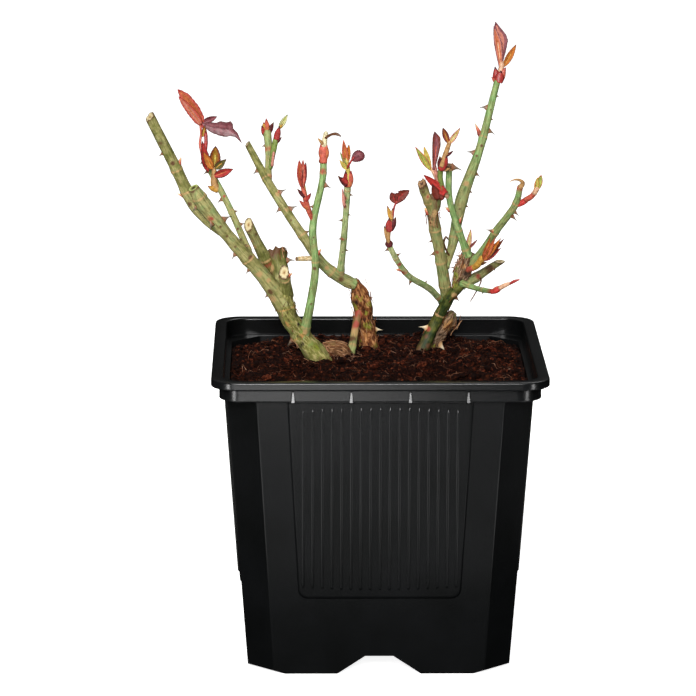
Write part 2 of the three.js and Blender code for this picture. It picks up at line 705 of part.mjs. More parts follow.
function rightHeadCanes() {
  cane('right_knuckle', {
    path: [[46.5, 22, 204.5], [49.5, 20.5, 215], [54.5, 21, 225.5]],
    thick: [6.5, 8.4, 8],
    prickles: [[0.6, 180, 2], [0.8, 185, 2]],
    finish: 'oldBark',
  });
  cane('right_cut_stub', {
    path: [[48.5, 21, 207], [56.5, 25, 210], [72, 34, 218.5]],
    thick: [5.6, 5.6, 3.7],
    prickles: [[0.8, 0, 2]],
  });
  cane('right_slim_cane', {
    path: [[52.5, 19, 225], [47.5, 12, 239.5], [41, 3, 261.5], [40.5, -5, 282]],
    thick: [4, 3.8, 3.7, 3.6],
    prickles: [[0.97, 0, 4], [0.3, 90, 2.4]],
    buds: [[0.32, 10, 5, 2.2], [0.5, 180, 4, 2.6]],
  });
  shoot('right_leaf_shoot', {
    stems: [
      { path: [[41, 2, 264.5], [37.5, -2, 268.5], [34.5, -5, 273.5]], thick: [3, 3.2, 3.4] },
      { path: [[34.5, -5, 272.5], [32.5, -7, 276], [31, -8, 280]], thick: [3.2, 2.8, 2.2] },
      { path: [[34.5, -6, 272.5], [35, -14, 285], [38, -18, 296]], thick: [3.4, 3.4, 2.2] },
    ],
    pods: [[[33.5, -3, 265.5], [30, -9, 273.5], 4.6], [[35, -14, 284], [37.5, -17.5, 294], 4.2]],
    leaves: [
      { base: [37.5, -3, 267], tip: [25.5, -12, 277], width: 5.4 },
      { base: [31.5, -7.5, 277.5], tip: [21, -14, 294], width: 3.8 },
      { base: [31.5, -7.5, 278], tip: [25.5, -10, 294], width: 3.2 },
      { base: [31, -8, 278], tip: [31.5, -12, 302.5], width: 5.2, fold: 0.8 },
      { base: [37.5, -17.5, 293.5], tip: [36, -20, 306.5], width: 3.6 },
      { base: [37.5, -18, 294], tip: [45.5, -24, 309], width: 3.8 },
    ],
  });
  shoot('right_sprig', {
    stems: [{ path: [[53.5, 22.5, 225], [53.6, 23, 229.5]], thick: [2.4, 2] }],
    leaves: [
      { base: [53.4, 23, 227], tip: [54.5, 28, 239], width: 3.2 },
      { base: [53.6, 23, 228.5], tip: [58, 23, 234], width: 1.8 },
    ],
  });
  cane('right_curved_cane', {
    path: [[54.5, 20, 219], [61.5, 9, 230.5], [68.5, -4, 244.5], [78, -20, 262], [80, -27, 273]],
    thick: [4.4, 4.3, 4.2, 3.8, 3.2],
    prickles: [[0.45, 180, 3], [0.7, 350, 2.6], [0.76, 350, 2.6]],
    buds: [[0.46, 220, 2.5, 2]],
  });
  shoot('right_hook_tip', {
    stems: [{
      path: [[80, -27, 272.5], [81.5, -28.5, 275.5], [79, -30, 276.5], [76, -31, 277.5]],
      thick: [2.6, 1.8, 1.4, 0.8],
    }],
  });
  shoot('right_curved_shoot', {
    stems: [{
      path: [[79, -20, 262], [82.5, -22.5, 264], [87.5, -28, 268.5], [90, -31, 274]],
      thick: [2.8, 3, 3.4, 3],
    }],
    leaves: [{ base: [89, -30, 271.5], tip: [91.5, -35, 281], width: 4.4 }],
  });
  shoot('right_orange_leaves', {
    stems: [{ path: [[54.5, 16.5, 217.5], [59, 5, 222], [62, 1, 227]], thick: [3.6, 3.4, 2.6] }],
    leaves: [
      { base: [61.5, 1, 225.5], tip: [66, -5, 241], width: 3.6 },
      { base: [61.5, 1, 225.5], tip: [69.5, -7, 239.5], width: 4 },
      { base: [61.5, 1, 225.5], tip: [72, 0, 239], width: 3.6 },
    ],
  });
  cane('right_low_shoot', {
    path: [[50.5, 18, 208.5], [58.5, 6, 207.5], [66, -12, 209.5]],
    thick: [3, 2.9, 2.6],
  });
  shoot('right_low_tip', {
    stems: [{
      path: [[66, -12, 209.5], [71.5, -16, 213.5], [80.5, -20, 218]],
      thick: [2.8, 3.2, 0.8],
    }],
  });
}

// ---------------------------------------------------------------- assembly

addNode('pot', makePot(), 'plastic');
addNode('compost', makeCompost(), 'compost');
leftStem();
slimCanes();
middleStem();
rightStem();
rightHeadCanes();

export default group;
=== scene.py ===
# %% [markdown]
# # A young rose bush in its nursery pot
#
# The real object is a bare-root rose, cut back hard and potted in a square
# black plastic pot. Three old stems rise from the peat, green canes grow from
# their stumps, and the first red shoots of spring break from the canes.
# This lesson dresses the plain solids of that plant: it gives the pot its
# moulded edges, the peat its fibres, and every cane its bark.

import math
import random

import bpy
import numpy as np
from mathutils import Matrix, Vector, noise


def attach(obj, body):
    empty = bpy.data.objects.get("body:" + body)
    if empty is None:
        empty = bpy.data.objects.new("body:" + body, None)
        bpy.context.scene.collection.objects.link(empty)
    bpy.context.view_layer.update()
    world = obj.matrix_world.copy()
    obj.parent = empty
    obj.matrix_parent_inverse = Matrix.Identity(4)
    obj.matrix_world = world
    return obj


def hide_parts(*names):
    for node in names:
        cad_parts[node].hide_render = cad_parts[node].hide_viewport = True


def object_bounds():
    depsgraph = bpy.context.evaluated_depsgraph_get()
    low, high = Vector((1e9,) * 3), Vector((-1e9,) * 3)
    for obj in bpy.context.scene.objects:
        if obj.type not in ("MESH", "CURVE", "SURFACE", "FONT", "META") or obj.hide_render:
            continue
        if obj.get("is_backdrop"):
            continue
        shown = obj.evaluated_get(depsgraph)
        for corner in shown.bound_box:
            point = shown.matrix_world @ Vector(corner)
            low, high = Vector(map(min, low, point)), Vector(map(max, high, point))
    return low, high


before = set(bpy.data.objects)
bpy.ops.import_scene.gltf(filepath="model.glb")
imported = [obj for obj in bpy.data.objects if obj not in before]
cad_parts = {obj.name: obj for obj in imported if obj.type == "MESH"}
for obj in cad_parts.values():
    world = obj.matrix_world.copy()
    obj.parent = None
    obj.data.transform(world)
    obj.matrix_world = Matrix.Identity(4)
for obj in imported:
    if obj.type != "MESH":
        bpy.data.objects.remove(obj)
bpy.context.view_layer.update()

# %% [markdown]
# ## Units and colours
#
# Growers and mould makers work in millimetres and Blender in metres, so every
# size here is in millimetres until a mesh is made. Colours are written as a
# screen shows them, in sRGB hex, and one function turns them into the linear
# light that a shader mixes.

# %% Millimetres and linear colour
MM = 0.001
dice = random.Random(11)


def linear(hex_colour):
    channels = [int(hex_colour[i:i + 2], 16) / 255 for i in (1, 3, 5)]
    light = [c / 12.92 if c <= 0.04045 else ((c + 0.055) / 1.055) ** 2.4 for c in channels]
    return (*light, 1.0)


print("mid grey in linear light:", round(linear("#808080")[0], 3))

# %% [markdown]
# ## One way to make a mesh
#
# A plant is hundreds of small skins. Blender could hold each one as an object,
# but a bush is easier to keep when the parts of one kind are joined. A Batch
# gathers points and faces, and with them marks: named numbers at each point,
# such as how close it is to a leaf scar, which a material can read later.

# %% Batches of loose parts, and a skin over rings
class Batch:
    """Loose parts on their way to one joined mesh."""

    def __init__(self):
        self.points, self.faces, self.finishes, self.marks, self.count = [], [], [], {}, 0

    def add(self, points, faces, finish=0, **marks):
        points = np.asarray(points, float).reshape(-1, 3)
        self.faces += [tuple(i + self.count for i in face) for face in faces]
        self.finishes += finish if isinstance(finish, list) else [finish] * len(faces)
        for name, values in marks.items():
            self.marks.setdefault(name, []).append(np.asarray(values, float))
        self.points.append(points)
        self.count += len(points)

    def build(self, name, finishes, sharp=None):
        mesh = bpy.data.meshes.new(name)
        mesh.from_pydata((np.concatenate(self.points) * MM).tolist(), [], self.faces)
        for finish in finishes:
            mesh.materials.append(finish)
        mesh.polygons.foreach_set("material_index", self.finishes)
        mesh.polygons.foreach_set("use_smooth", [True] * len(self.faces))
        for mark, parts in self.marks.items():
            values = np.concatenate(parts)
            kind, field = ("FLOAT_VECTOR", "vector") if values.ndim == 2 else ("FLOAT", "value")
            mesh.attributes.new(mark, kind, "POINT").data.foreach_set(field, values.ravel())
        mesh.update()
        if sharp:
            mesh.set_sharp_from_angle(angle=math.radians(sharp))
        piece = bpy.data.objects.new(name, mesh)
        bpy.context.scene.collection.objects.link(piece)
        return piece


def loft(rings, start=True, end=True):
    """The skin over rings of equal count, each end closed with a fan."""
    rings = np.asarray(rings, float)
    rows, count = rings.shape[:2]
    points = rings.reshape(-1, 3)
    around = [(k, (k + 1) % count) for k in range(count)]
    starts = range(0, (rows - 1) * count, count)
    faces = [(r + a, r + b, r + b + count, r + a + count) for r in starts for a, b in around]
    if start:
        points = np.vstack([points, rings[0].mean(0)])
        faces += [(len(points) - 1, b, a) for a, b in around]
    if end:
        points = np.vstack([points, rings[-1].mean(0)])
        last = (rows - 1) * count
        faces += [(last + a, last + b, len(points) - 1) for a, b in around]
    return points, faces


def place_piece(piece, slot, *nodes):
    """Says what carries a piece and which solids it stands for; the slot argument, a finish slot, is not
    used.
    """
    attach(piece, "root")
    if nodes:
        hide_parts(*nodes)
    print(piece.name, len(piece.data.polygons), "faces")


# %% [markdown]
# ## Camera, floor and light
#
# The plant stands on a plain pale floor in soft studio light. A long lens from
# two and a half metres keeps the pot's sides almost parallel, as a catalogue
# picture does. Two large softboxes beside the camera light the canes. Satin
# black plastic shows its lights more than its colour, so the pot gets its own:
# a low strip in front that the upright collar mirrors, one low box at each
# side for the round corners, and dim panels on the floor all round it, which
# are the bounce that the leaning walls and the flanks of the ribs mirror.

# %% Camera
def make_camera():
    place = Vector((-51.8, -2426.2, 681.2)) * MM
    down, right, roll = math.radians(11.807), math.radians(0.819), math.radians(0.136)
    ahead = Vector((math.sin(right) * math.cos(down), math.cos(right) * math.cos(down), -math.sin(down)))
    side = Vector((math.cos(right), -math.sin(right), 0))
    above = side.cross(ahead)
    turned_side = side * math.cos(roll) + above * math.sin(roll)
    turned_above = above * math.cos(roll) - side * math.sin(roll)
    axes = Matrix((turned_side, turned_above, -ahead)).transposed()
    lens = bpy.data.cameras.new("camera")
    lens.lens = 221.75
    lens.sensor_width = 36
    lens.clip_end = 50
    camera = bpy.data.objects.new("camera", lens)
    camera.matrix_world = Matrix.Translation(place) @ axes.to_4x4()
    bpy.context.scene.collection.objects.link(camera)
    bpy.context.scene.camera = camera
    print("camera", round((place - Vector((0, 0, 0.18))).length, 2), "m from the plant")


make_camera()
bpy.context.scene.view_settings.view_transform = "Standard"


# %% Adding a node
FACTOR, UNDER, OVER, MIXED = 0, 6, 7, 2     # the colour sockets of Blender's Mix node


def add_node(tree, kind, links=None, stops=None, **settings):
    """Adds one node with its settings, the stops of its ramp, and its values or links."""
    node = tree.nodes.new("ShaderNode" + kind)
    for name, value in settings.items():
        setattr(node, name, value)
    if stops:
        ramp = node.color_ramp
        ramp.elements.remove(ramp.elements[1])
        for number, (share, colour) in enumerate(stops):
            stop = ramp.elements[0] if number == 0 else ramp.elements.new(share)
            stop.position = share
            stop.color = linear(colour)
    for socket, value in (links or {}).items():
        if isinstance(value, bpy.types.NodeSocket):
            tree.links.new(value, node.inputs[socket])
        else:
            node.inputs[socket].default_value = value
    return node


# %% Short ways to the nodes that every finish needs
def new_material(name, **inputs):
    """A material whose shader gets these inputs on its own sockets; _ stands for a space."""
    material = bpy.data.materials.new(name)
    material.use_nodes = True
    tree = material.node_tree
    shader = tree.nodes["Principled BSDF"]
    for socket, value in inputs.items():
        shader.inputs[socket.replace("_", " ")].default_value = value
    return material, tree, shader


def mark(tree, name, output="Fac"):
    """What the mesh holds at each point under a name."""
    return add_node(tree, "Attribute", attribute_name=name).outputs[output]


def object_place(tree):
    return add_node(tree, "TexCoord").outputs["Object"]


def noise_at(tree, place, size_mm, **inputs):
    """Noise with blotches about size_mm wide."""
    return add_node(tree, "TexNoise", {"Vector": place, "Scale": 1 / (size_mm * MM), **inputs}).outputs["Fac"]


def stretched(tree, place, share):
    """The same place, drawn out along the limb."""
    return add_node(tree, "Mapping", {"Vector": place, "Scale": (1, 1, share)}).outputs["Vector"]


def ramp(tree, share, *stops):
    return add_node(tree, "ValToRGB", {"Fac": share}, stops=stops).outputs["Color"]


def rescale(tree, value, low, high, to_low=0.0, to_high=1.0):
    links = {"Value": value, "From Min": low, "From Max": high, "To Min": to_low, "To Max": to_high}
    return add_node(tree, "MapRange", links).outputs["Result"]


def combine(tree, how, first, second):
    return add_node(tree, "Math", {0: first, 1: second}, operation=how).outputs["Value"]


def blend(tree, share, under, over, how="MIX"):
    links = {FACTOR: share, UNDER: under, OVER: over}
    return add_node(tree, "Mix", links, data_type="RGBA", blend_type=how).outputs[MIXED]


def dress(tree, shader, colour, height, strength, depth_mm):
    """Gives the shader its colour, and a bump from the same pattern."""
    tree.links.new(colour, shader.inputs["Base Color"])
    bump = add_node(tree, "Bump", {"Height": height, "Strength": strength, "Distance": depth_mm * MM})
    tree.links.new(bump.outputs["Normal"], shader.inputs["Normal"])


# %% Floor and lights
def make_floor():
    size = 12000
    material, _, _ = new_material("pale_studio_floor", Base_Color=linear("#f4f4f2"), Roughness=0.9,
                                  Emission_Color=linear("#ffffff"), Emission_Strength=0.9)
    floor = Batch()
    floor.add([(-size, -size, 0), (size, -size, 0), (size, size, 0), (-size, size, 0)], [(0, 1, 2, 3)])
    piece = floor.build("studio_floor", [material])
    piece.visible_glossy = False        # satin black plastic would show nothing but a white floor
    piece.visible_diffuse = False
    piece.visible_shadow = False
    piece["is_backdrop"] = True


def add_softbox(name, place, aim, width, height, power):
    lamp = bpy.data.lights.new(name, "AREA")
    lamp.shape = "RECTANGLE"
    lamp.size, lamp.size_y, lamp.energy = width * MM, height * MM, power
    holder = bpy.data.objects.new(name, lamp)
    holder.location = Vector(place) * MM
    direction = (Vector(aim) - Vector(place)).normalized()
    holder.rotation_euler = direction.to_track_quat("-Z", "Y").to_euler()
    holder.visible_camera = False
    bpy.context.scene.collection.objects.link(holder)


def light_the_room():
    """Soft light from above the horizon only, so the pot's leaning walls stay dark."""
    world = bpy.data.worlds.new("studio")
    bpy.context.scene.world = world
    world.use_nodes = True
    tree = world.node_tree
    split = add_node(tree, "SeparateXYZ", {"Vector": add_node(tree, "TexCoord").outputs["Generated"]})
    background = tree.nodes["Background"].inputs
    tree.links.new(ramp(tree, split.outputs["Z"], (0.2, "#070707"), (0.8, "#a0a0a0")), background["Color"])
    background["Strength"].default_value = 0.7


make_floor()
light_the_room()
softboxes = {                           # place and aim in millimetres, width, height, watts
    "key_softbox": ((-600, -1900, 1500), (0, 0, 200), 900, 700, 34),
    "front_softbox": ((-150, -2500, 1150), (0, 0, 200), 600, 500, 50),
    "back_softbox": ((500, 1500, 2000), (0, 0, 220), 900, 900, 13),
    "low_front_softbox": ((-170, -700, 33), (-60, -90, 165), 420, 60, 0.6),
    "low_back_softbox": ((0, 700, 33), (0, 90, 165), 420, 60, 0.5),
    "left_softbox": ((-640, -640, 20), (-90, -90, 165), 120, 90, 1.3),
    "right_softbox": ((660, -640, 20), (90, -90, 165), 120, 90, 0.8),
}
for name, spec in softboxes.items():
    add_softbox(name, *spec)
floor_panels = {                        # where it lies, width, depth, watts; each one faces up
    "floor_bounce": (-60, -460, 520, 520, 0.2), "back_bounce": (0, 460, 620, 520, 0.24),
    "left_rib_bounce": (-300, -250, 300, 140, 0.19), "right_rib_bounce": (300, -250, 300, 140, 0.19),
    "left_side_bounce": (-440, 140, 400, 360, 0.06), "right_side_bounce": (440, 140, 400, 360, 0.06),
}
for name, (x, y, *spec) in floor_panels.items():
    add_softbox(name, (x, y, 3), (x, y + 1, 200), *spec)
print(len(bpy.data.lights), "softboxes")


# %% [markdown]
# ## The pot's plastic
#
# Nursery pots are injection moulded from recycled black polypropylene. The
# mould is lightly textured, so the surface is satin, and growing leaves a thin
# film of dust. A Principled shader with a very dark base and a broad gloss
# gives that, and a fine noise breaks the gloss the way the mould's grain does.

# %% Moulded polypropylene
# Polypropylene: IOR about 1.49. Carbon black leaves a base that is nearly black,
# so almost everything the eye gets from it is the soft reflection of the studio.
def moulded_polypropylene():
    material, tree, shader = new_material("moulded_polypropylene", IOR=1.49, Specular_IOR_Level=0.4)
    grain_mm = 1.2                      # drawn coarser than the mould's 0.2 mm grain, which is under a pixel
    cloud_mm = 35                       # how wide the patches of dust film are
    where = object_place(tree)
    grain, cloud = noise_at(tree, where, grain_mm), noise_at(tree, where, cloud_mm, Detail=4.0)
    tree.links.new(rescale(tree, cloud, 0.0, 1.0, 0.23, 0.27), shader.inputs["Roughness"])
    dress(tree, shader, ramp(tree, cloud, (0.35, "#080909"), (0.7, "#0d0e0f")), grain, 0.12, 0.1)
    return material


black_plastic = moulded_polypropylene()


# %% [markdown]
# ## The pot
#
# The pot is one thin moulding: an eight-sided body that widens upwards, an
# upright collar, and a square lip. A skin drawn over level rings gives every
# edge its small round, which is what catches the light. The ribbed panels and
# the little buttresses are laid on each wall, and the foot's two crossing
# channels and four drains are cut out of the finished skin.

# %% The pot's sizes
pot = {
    "height": 173.8,
    "rim_side": 190, "rim_round": 16, "lip_height": 4.8,
    "collar_side": 181, "collar_round": 14, "collar_bottom": 161.7,
    "ledge": 2, "mouth_side": 176, "mouth_round": 12,
    "body_top_side": 173.2, "base_side": 149.6, "base_chamfer": 15,
    "wall": 1.6, "floor_top": 12.3, "floor_under": 10.8,
}
panel = {"top_half": 51.5, "bottom_half": 45.5, "top_z": 157.5, "bottom_z": 46, "round": 5, "proud": 1.2}
ribs = {"count": 17, "reach": 43.4, "width": 1.8, "top_z": 158.4, "bottom_z": 50.5, "shorter": 1.6,
        "proud": 0.8}
gusset = {"places": (-49, -16.5, 16.5, 49), "width": 2.4, "gap": 0.4, "depth": 2.4}
channel = {"foot_half": 24, "roof_half": 8, "pad": 13, "drain_radius": 4.5, "drain_at": 45}
corner_bevel = {"start": 90.4, "reach": 20, "slope": 0.42}
edge_round = 1.4                        # fillet along the body's eight upright edges


def body_side(z):
    return pot["base_side"] + (pot["body_top_side"] - pot["base_side"]) * z / pot["collar_bottom"]


# %% Level outlines of the pot
def corner_arc(centre, radius, start, end, count):
    x, y = centre
    return [(x + radius * math.cos(a), y + radius * math.sin(a)) for a in np.linspace(start, end, count)]


def outline(side, cut, rounding, z):
    """A square with corners cut off and each edge rounded; cut 0 gives a plain rounded square."""
    half = side / 2
    hold = 0.6                          # a point this far past each round keeps the flat beside it flat
    if cut:
        reach = rounding * math.tan(math.radians(22.5))
        first = corner_arc((half - rounding, half - cut - reach), rounding, 0, math.pi / 4, 6)
        second = [(y, x) for x, y in first[::-1]]
        slope = hold * math.sqrt(0.5)
        bevel = [(first[-1][0] - slope, first[-1][1] + slope), (second[0][0] + slope, second[0][1] - slope)]
        quarter = [(half, first[0][1] - hold), *first, *bevel, *second, (first[0][1] - hold, half)]
    else:
        straight = half - rounding
        arc = corner_arc((straight, straight), rounding, 0, math.pi / 2, 14)
        quarter = [(half, straight - hold), *arc, (straight - hold, half)]
    turns = ((1, 0), (0, 1), (-1, 0), (0, -1))
    return [(c * x - s * y, s * x + c * y, z) for c, s in turns for x, y in quarter]


def body_ring(z, inset=0.0):
    side = body_side(z) - 2 * inset
    cut = pot["base_chamfer"] * body_side(z) / pot["base_side"] - inset * 0.586
    return outline(side, cut, edge_round, z)


def square_ring(side, rounding, z):
    return outline(side, 0, rounding, z)


def soft_edge(side, rounding, z, inward, up, soft=0.9):
    """Rings over a quarter round of the lip, from its level face to its upright one."""
    backs = [(soft * (1 - math.sin(a)), soft * (1 - math.cos(a))) for a in np.linspace(0, math.pi / 2, 5)]
    return [square_ring(side - 2 * inward * back, rounding - inward * back, z + up * rise)
            for back, rise in backs]


def pot_rings():
    """Every level ring, from under the foot, up the outside, over the lip and down the inside."""
    top, foot = pot["height"], pot["collar_bottom"]
    lip_under, ledge_top = top - pot["lip_height"], foot + pot["ledge"]
    collar, rim, mouth = ((pot[name + "_side"], pot[name + "_round"]) for name in ("collar", "rim", "mouth"))
    rings = [body_ring(0, 0.5), body_ring(0.15, 0.15)]
    rings += [body_ring(z) for z in (0.5, 1.1, 20, 60, 100, 140, foot - 0.5)]
    rings += [body_ring(foot, -0.4), square_ring(collar[0] - 1.2, collar[1] - 0.6, foot)]
    rings += [square_ring(collar[0] - 0.35, collar[1] - 0.2, foot + 0.18)]
    rings += [square_ring(*collar, z) for z in (foot + 0.6, foot + 0.9, lip_under - 0.8, lip_under - 0.5)]
    rings += [square_ring(collar[0] + 0.8, collar[1] + 0.2, lip_under), *soft_edge(*rim, lip_under, 1, 1)]
    rings += [square_ring(*rim, lip_under + 1.15), square_ring(*rim, top - 1.15)]
    rings += soft_edge(*rim, top, 1, -1)[::-1] + soft_edge(*mouth, top, -1, -1)
    rings += [square_ring(*mouth, z) for z in (top - 1.3, ledge_top + 0.3)]
    rings += [square_ring(mouth[0] - 0.5, mouth[1] - 0.2, ledge_top), body_ring(ledge_top - 0.1, pot["wall"])]
    rings += [body_ring(z, pot["wall"]) for z in (155, 120, 60, pot["floor_top"])]
    return rings


# %% Cutting the foot
def cut_from(piece, cutters):
    """Takes closed cutters out of a mesh and applies the cut."""
    for cutter in cutters:
        step = piece.modifiers.new(cutter.name, "BOOLEAN")
        step.operation, step.solver, step.object = "DIFFERENCE", "EXACT", cutter
    done = bpy.data.meshes.new_from_object(piece.evaluated_get(bpy.context.evaluated_depsgraph_get()))
    piece.modifiers.clear()
    piece.data = done
    for cutter in cutters:
        bpy.data.objects.remove(cutter)


def cutter(name, rings, turn):
    """A closed skin over rings, turned about Z."""
    bar = Batch()
    bar.add(*loft(rings))
    piece = bar.build(name, [])
    piece.matrix_world = Matrix.Rotation(turn, 4, "Z")
    return piece


def bar_rings(profile, start, end):
    """A straight bar with an (across, height) profile, along Y."""
    return [[(x, y, z) for x, z in profile] for y in (end, start)]


def foot_cutters():
    foot, roof, top = channel["foot_half"], channel["roof_half"], pot["floor_under"]
    below = (foot - roof) / top
    profile = [(-foot - below, -1), (foot + below, -1), (roof, top), (-roof, top)]
    start, reach, slope = corner_bevel["start"], corner_bevel["reach"], corner_bevel["slope"]
    wedge = [(start - 5, -20), (start + reach, -20), (start + reach, slope * reach), (start - 5, -slope * 5)]
    drain = corner_arc((channel["drain_at"], 0), channel["drain_radius"], 0, 2 * math.pi, 25)[:-1]
    cutters = []
    for quarter in range(4):
        turn = quarter * math.pi / 2
        cutters += [cutter(f"channel_{quarter}", bar_rings(profile, channel["pad"] - 0.5, 100), turn),
                    cutter(f"wedge_{quarter}", bar_rings(wedge, -75, 75), turn + math.pi / 4),
                    cutter(f"drain_{quarter}", [[(x, y, z) for x, y in drain] for z in (9, 14)], turn)]
    return cutters


# %% Panels, ribs and buttresses
def on_wall(points, quarter):
    """Moves (across, proud, height) points to one of the four walls."""
    c, s = round(math.cos(quarter * math.pi / 2)), round(math.sin(quarter * math.pi / 2))
    outs = [-body_side(z) / 2 - proud for _, proud, z in points]
    return [(c * across - s * y, s * across + c * y, z) for (across, _, z), y in zip(points, outs)]


def panel_rings():
    """The raised panel as outlines that step out of the wall over a small round."""
    def drawn(shrink, proud):
        top, bottom = panel["top_half"] - shrink, panel["bottom_half"] - shrink
        low, high = panel["bottom_z"] + shrink, panel["top_z"] + 3
        curve = panel["round"] - shrink * 0.6
        ring = [(top, proud, high), (-top, proud, high)]
        for side, start in ((-1, math.pi), (1, 1.5 * math.pi)):
            arc = corner_arc((side * (bottom - curve), low + curve), curve, start, start + math.pi / 2, 7)
            ring += [(x, proud, z) for x, z in arc]
        return ring
    slope = 0.8     # the panel's side leans out this far, which draws a dark line round it
    height = panel["proud"]
    steps = [(-slope, -0.8), (-slope, 0), (-0.1, height - 0.35), (0.1, height - 0.1), (0.45, height),
             (1.2, height)]
    return [drawn(shrink, proud) for shrink, proud in steps]


def rib_rings(across):
    """A rib with a rounded back; its top end slopes at 22 degrees and catches the high softboxes."""
    less = ribs["shorter"] * (across / ribs["reach"]) ** 2
    low, high, half = ribs["bottom_z"] + less, ribs["top_z"] - less, ribs["width"] / 2
    hold = 0.3                          # a ring this far past each end keeps the long back straight
    foot, sunk = half * 0.6, panel["proud"] - 0.4
    rings = []
    for z, size in ((low, 0.05), (low + 0.25, 0.6), (low + half, 1), (low + half + hold, 1),
                    (high - 1.5 - hold, 1), (high - 1.5, 1), (high - 1.3, 0.92), (high - 0.5, 0.55),
                    (high - 0.3, 0.47), (high, 0.05)):
        ring = [(across - foot, sunk, z), (across + foot, sunk, z)]
        for angle in np.linspace(0, math.pi, 7):
            proud = panel["proud"] - 0.1 + (ribs["proud"] + 0.1) * max(0.0, math.sin(angle)) ** 0.7 * size
            ring.append((across + half * math.cos(angle) * max(size, 0.4), proud, z))
        rings.append(ring)
    return rings


def buttress_rings(across):
    """A small fin that widens down from under the lip to the collar's foot."""
    high = pot["height"] - pot["lip_height"] - gusset["gap"]
    low = pot["collar_bottom"] + gusset["gap"]
    face = -pot["collar_side"] / 2
    sunk, bevel = 0.6, 0.3
    rings = []
    for share in np.linspace(0, 1, 6):
        out = gusset["depth"] * (1 - share) + 0.05
        half = gusset["width"] / 2 * (1 - 0.55 * share)
        shape = ((-half, sunk), (-half, bevel - out), (bevel - half, -out),
                 (half - bevel, -out), (half, bevel - out), (half, sunk))
        rings.append([(across + x, face + y, low + (high - low) * share) for x, y in shape])
    return rings


# %% Making the pot
def make_pot():
    shell = Batch()
    shell.add(*loft(pot_rings()))
    piece = shell.build("pot", [black_plastic])
    cut_from(piece, foot_cutters())
    dressing = Batch()
    places = [ribs["reach"] * (2 * number / (ribs["count"] - 1) - 1) for number in range(ribs["count"])]
    for quarter in range(4):
        for rings in [panel_rings()] + [rib_rings(across) for across in places]:
            dressing.add(*loft([on_wall(ring, quarter) for ring in rings]))
        turn = Matrix.Rotation(quarter * math.pi / 2, 3, "Z")
        for across in gusset["places"]:
            rings = [[tuple(turn @ Vector(point)) for point in ring] for ring in buttress_rings(across)]
            dressing.add(*loft(rings))
    extra = dressing.build("pot_dressing", [black_plastic])
    with bpy.context.temp_override(active_object=piece, selected_editable_objects=[piece, extra]):
        bpy.ops.object.join()
    piece.data.set_sharp_from_angle(angle=math.radians(32))
    place_piece(piece, "pot_plastic", "pot")


make_pot()


# %% [markdown]
# ## The compost
#
# The pot is filled with a dark red-brown peat and coir mix. Seen close it is
# not a surface but a litter: crumbs, splinters of bark and pale hair-like
# fibres lie on a lumpy bed. The bed is a fine grid lifted by noise of several
# sizes, and the litter is scattered on it from seeded dice.

# %% Finishes of the compost
# Damp peat: a rough organic crumb, IOR about 1.45, with almost no gloss. Its colour follows
# its bump: near black in the hollows, which is painted shade, and lighter on the raised crumbs.
def damp_peat(name, dark, mid, light, crumb_mm):
    material, tree, shader = new_material(name, Roughness=0.95, IOR=1.45, Specular_IOR_Level=0.08)
    crumb = noise_at(tree, object_place(tree), crumb_mm, Detail=6.0, Roughness=0.7)
    # the ramp reads the bump's own noise, so its darkest stop is painted shade in the hollows
    dress(tree, shader, ramp(tree, crumb, (0.3, dark), (0.52, mid), (0.72, light)), crumb, 0.9, 0.7)
    return material


peat = damp_peat("damp_peat", "#030101", "#160704", "#45200f", 2.2)
bark_crumb = damp_peat("bark_crumb", "#0d0402", "#3c180d", "#8a4a30", 1.4)
# Coir is the husk fibre of coconuts: smooth dry hairs, paler than the peat.
coir = damp_peat("coir_fibre", "#4a281a", "#94644a", "#deb49a", 3.0)


# %% The bed
soil = {"level": 160, "crown": 166, "crown_x": 3, "crown_y": 26, "reach_x": 78, "reach_y": 52, "lump": 1.6}


def compost_height(x, y):
    away = ((x - soil["crown_x"]) / soil["reach_x"]) ** 2 + ((y - soil["crown_y"]) / soil["reach_y"]) ** 2
    lumps = (math.sin(x * 0.21 + y * 0.05) * math.sin(y * 0.24 - x * 0.07)
             + 0.5 * math.sin(x * 0.13 - y * 0.31))
    return min(soil["level"] + 9 * math.exp(-away * away) + soil["lump"] * lumps, soil["crown"])


def peat_height(x, y):
    """The bed's height with its crumbs: noise at three sizes, in millimetres."""
    place = Vector((x, y, 0))
    crumbs = 2.2 * noise.noise(place / 9) + 1.7 * noise.noise(place / 4.1 + Vector((9, 4, 2)))
    crumbs += 1.0 * abs(noise.noise(place / 1.7 + Vector((3, 1, 7))))
    return compost_height(x, y) + crumbs


def inside_point(u, v, z, gap):
    """A point of the eight-sided inside at a height; u and v run from -1 to 1."""
    half = body_side(z) / 2 - pot["wall"] - gap
    cut = pot["base_chamfer"] * body_side(z) / pot["base_side"] - pot["wall"] * 0.586
    size = max(abs(u), abs(v), 1e-6)
    squeeze = min(1.0, (2 * half - cut) * size / ((abs(u) + abs(v)) * half))
    return u * half * squeeze, v * half * squeeze


def make_bed():
    cells = 230
    grid = np.linspace(-1, 1, cells + 1)
    points = []
    for v in grid:
        for u in grid:
            x, y = inside_point(u, v, soil["level"], 0.35)
            points.append((x, y, peat_height(x, y)))
    wide = cells + 1
    faces = [(r * wide + c, r * wide + c + 1, (r + 1) * wide + c + 1, (r + 1) * wide + c)
             for r in range(cells) for c in range(cells)]
    bed = Batch()
    bed.add(points, faces)
    rim = [(c, 0) for c in range(cells)] + [(cells, r) for r in range(cells)]
    rim += [(c, cells) for c in range(cells, 0, -1)] + [(0, r) for r in range(cells, 0, -1)]
    skirt = [[points[r * wide + c] for c, r in rim]]
    for z in (150, 80, pot["floor_top"] + 0.3):
        skirt.append([(*inside_point(grid[c], grid[r], z, 0.35), z) for c, r in rim])
    bed.add(*loft(skirt[::-1], start=True, end=False))
    piece = bed.build("compost", [peat])
    place_piece(piece, "compost", "compost")


make_bed()

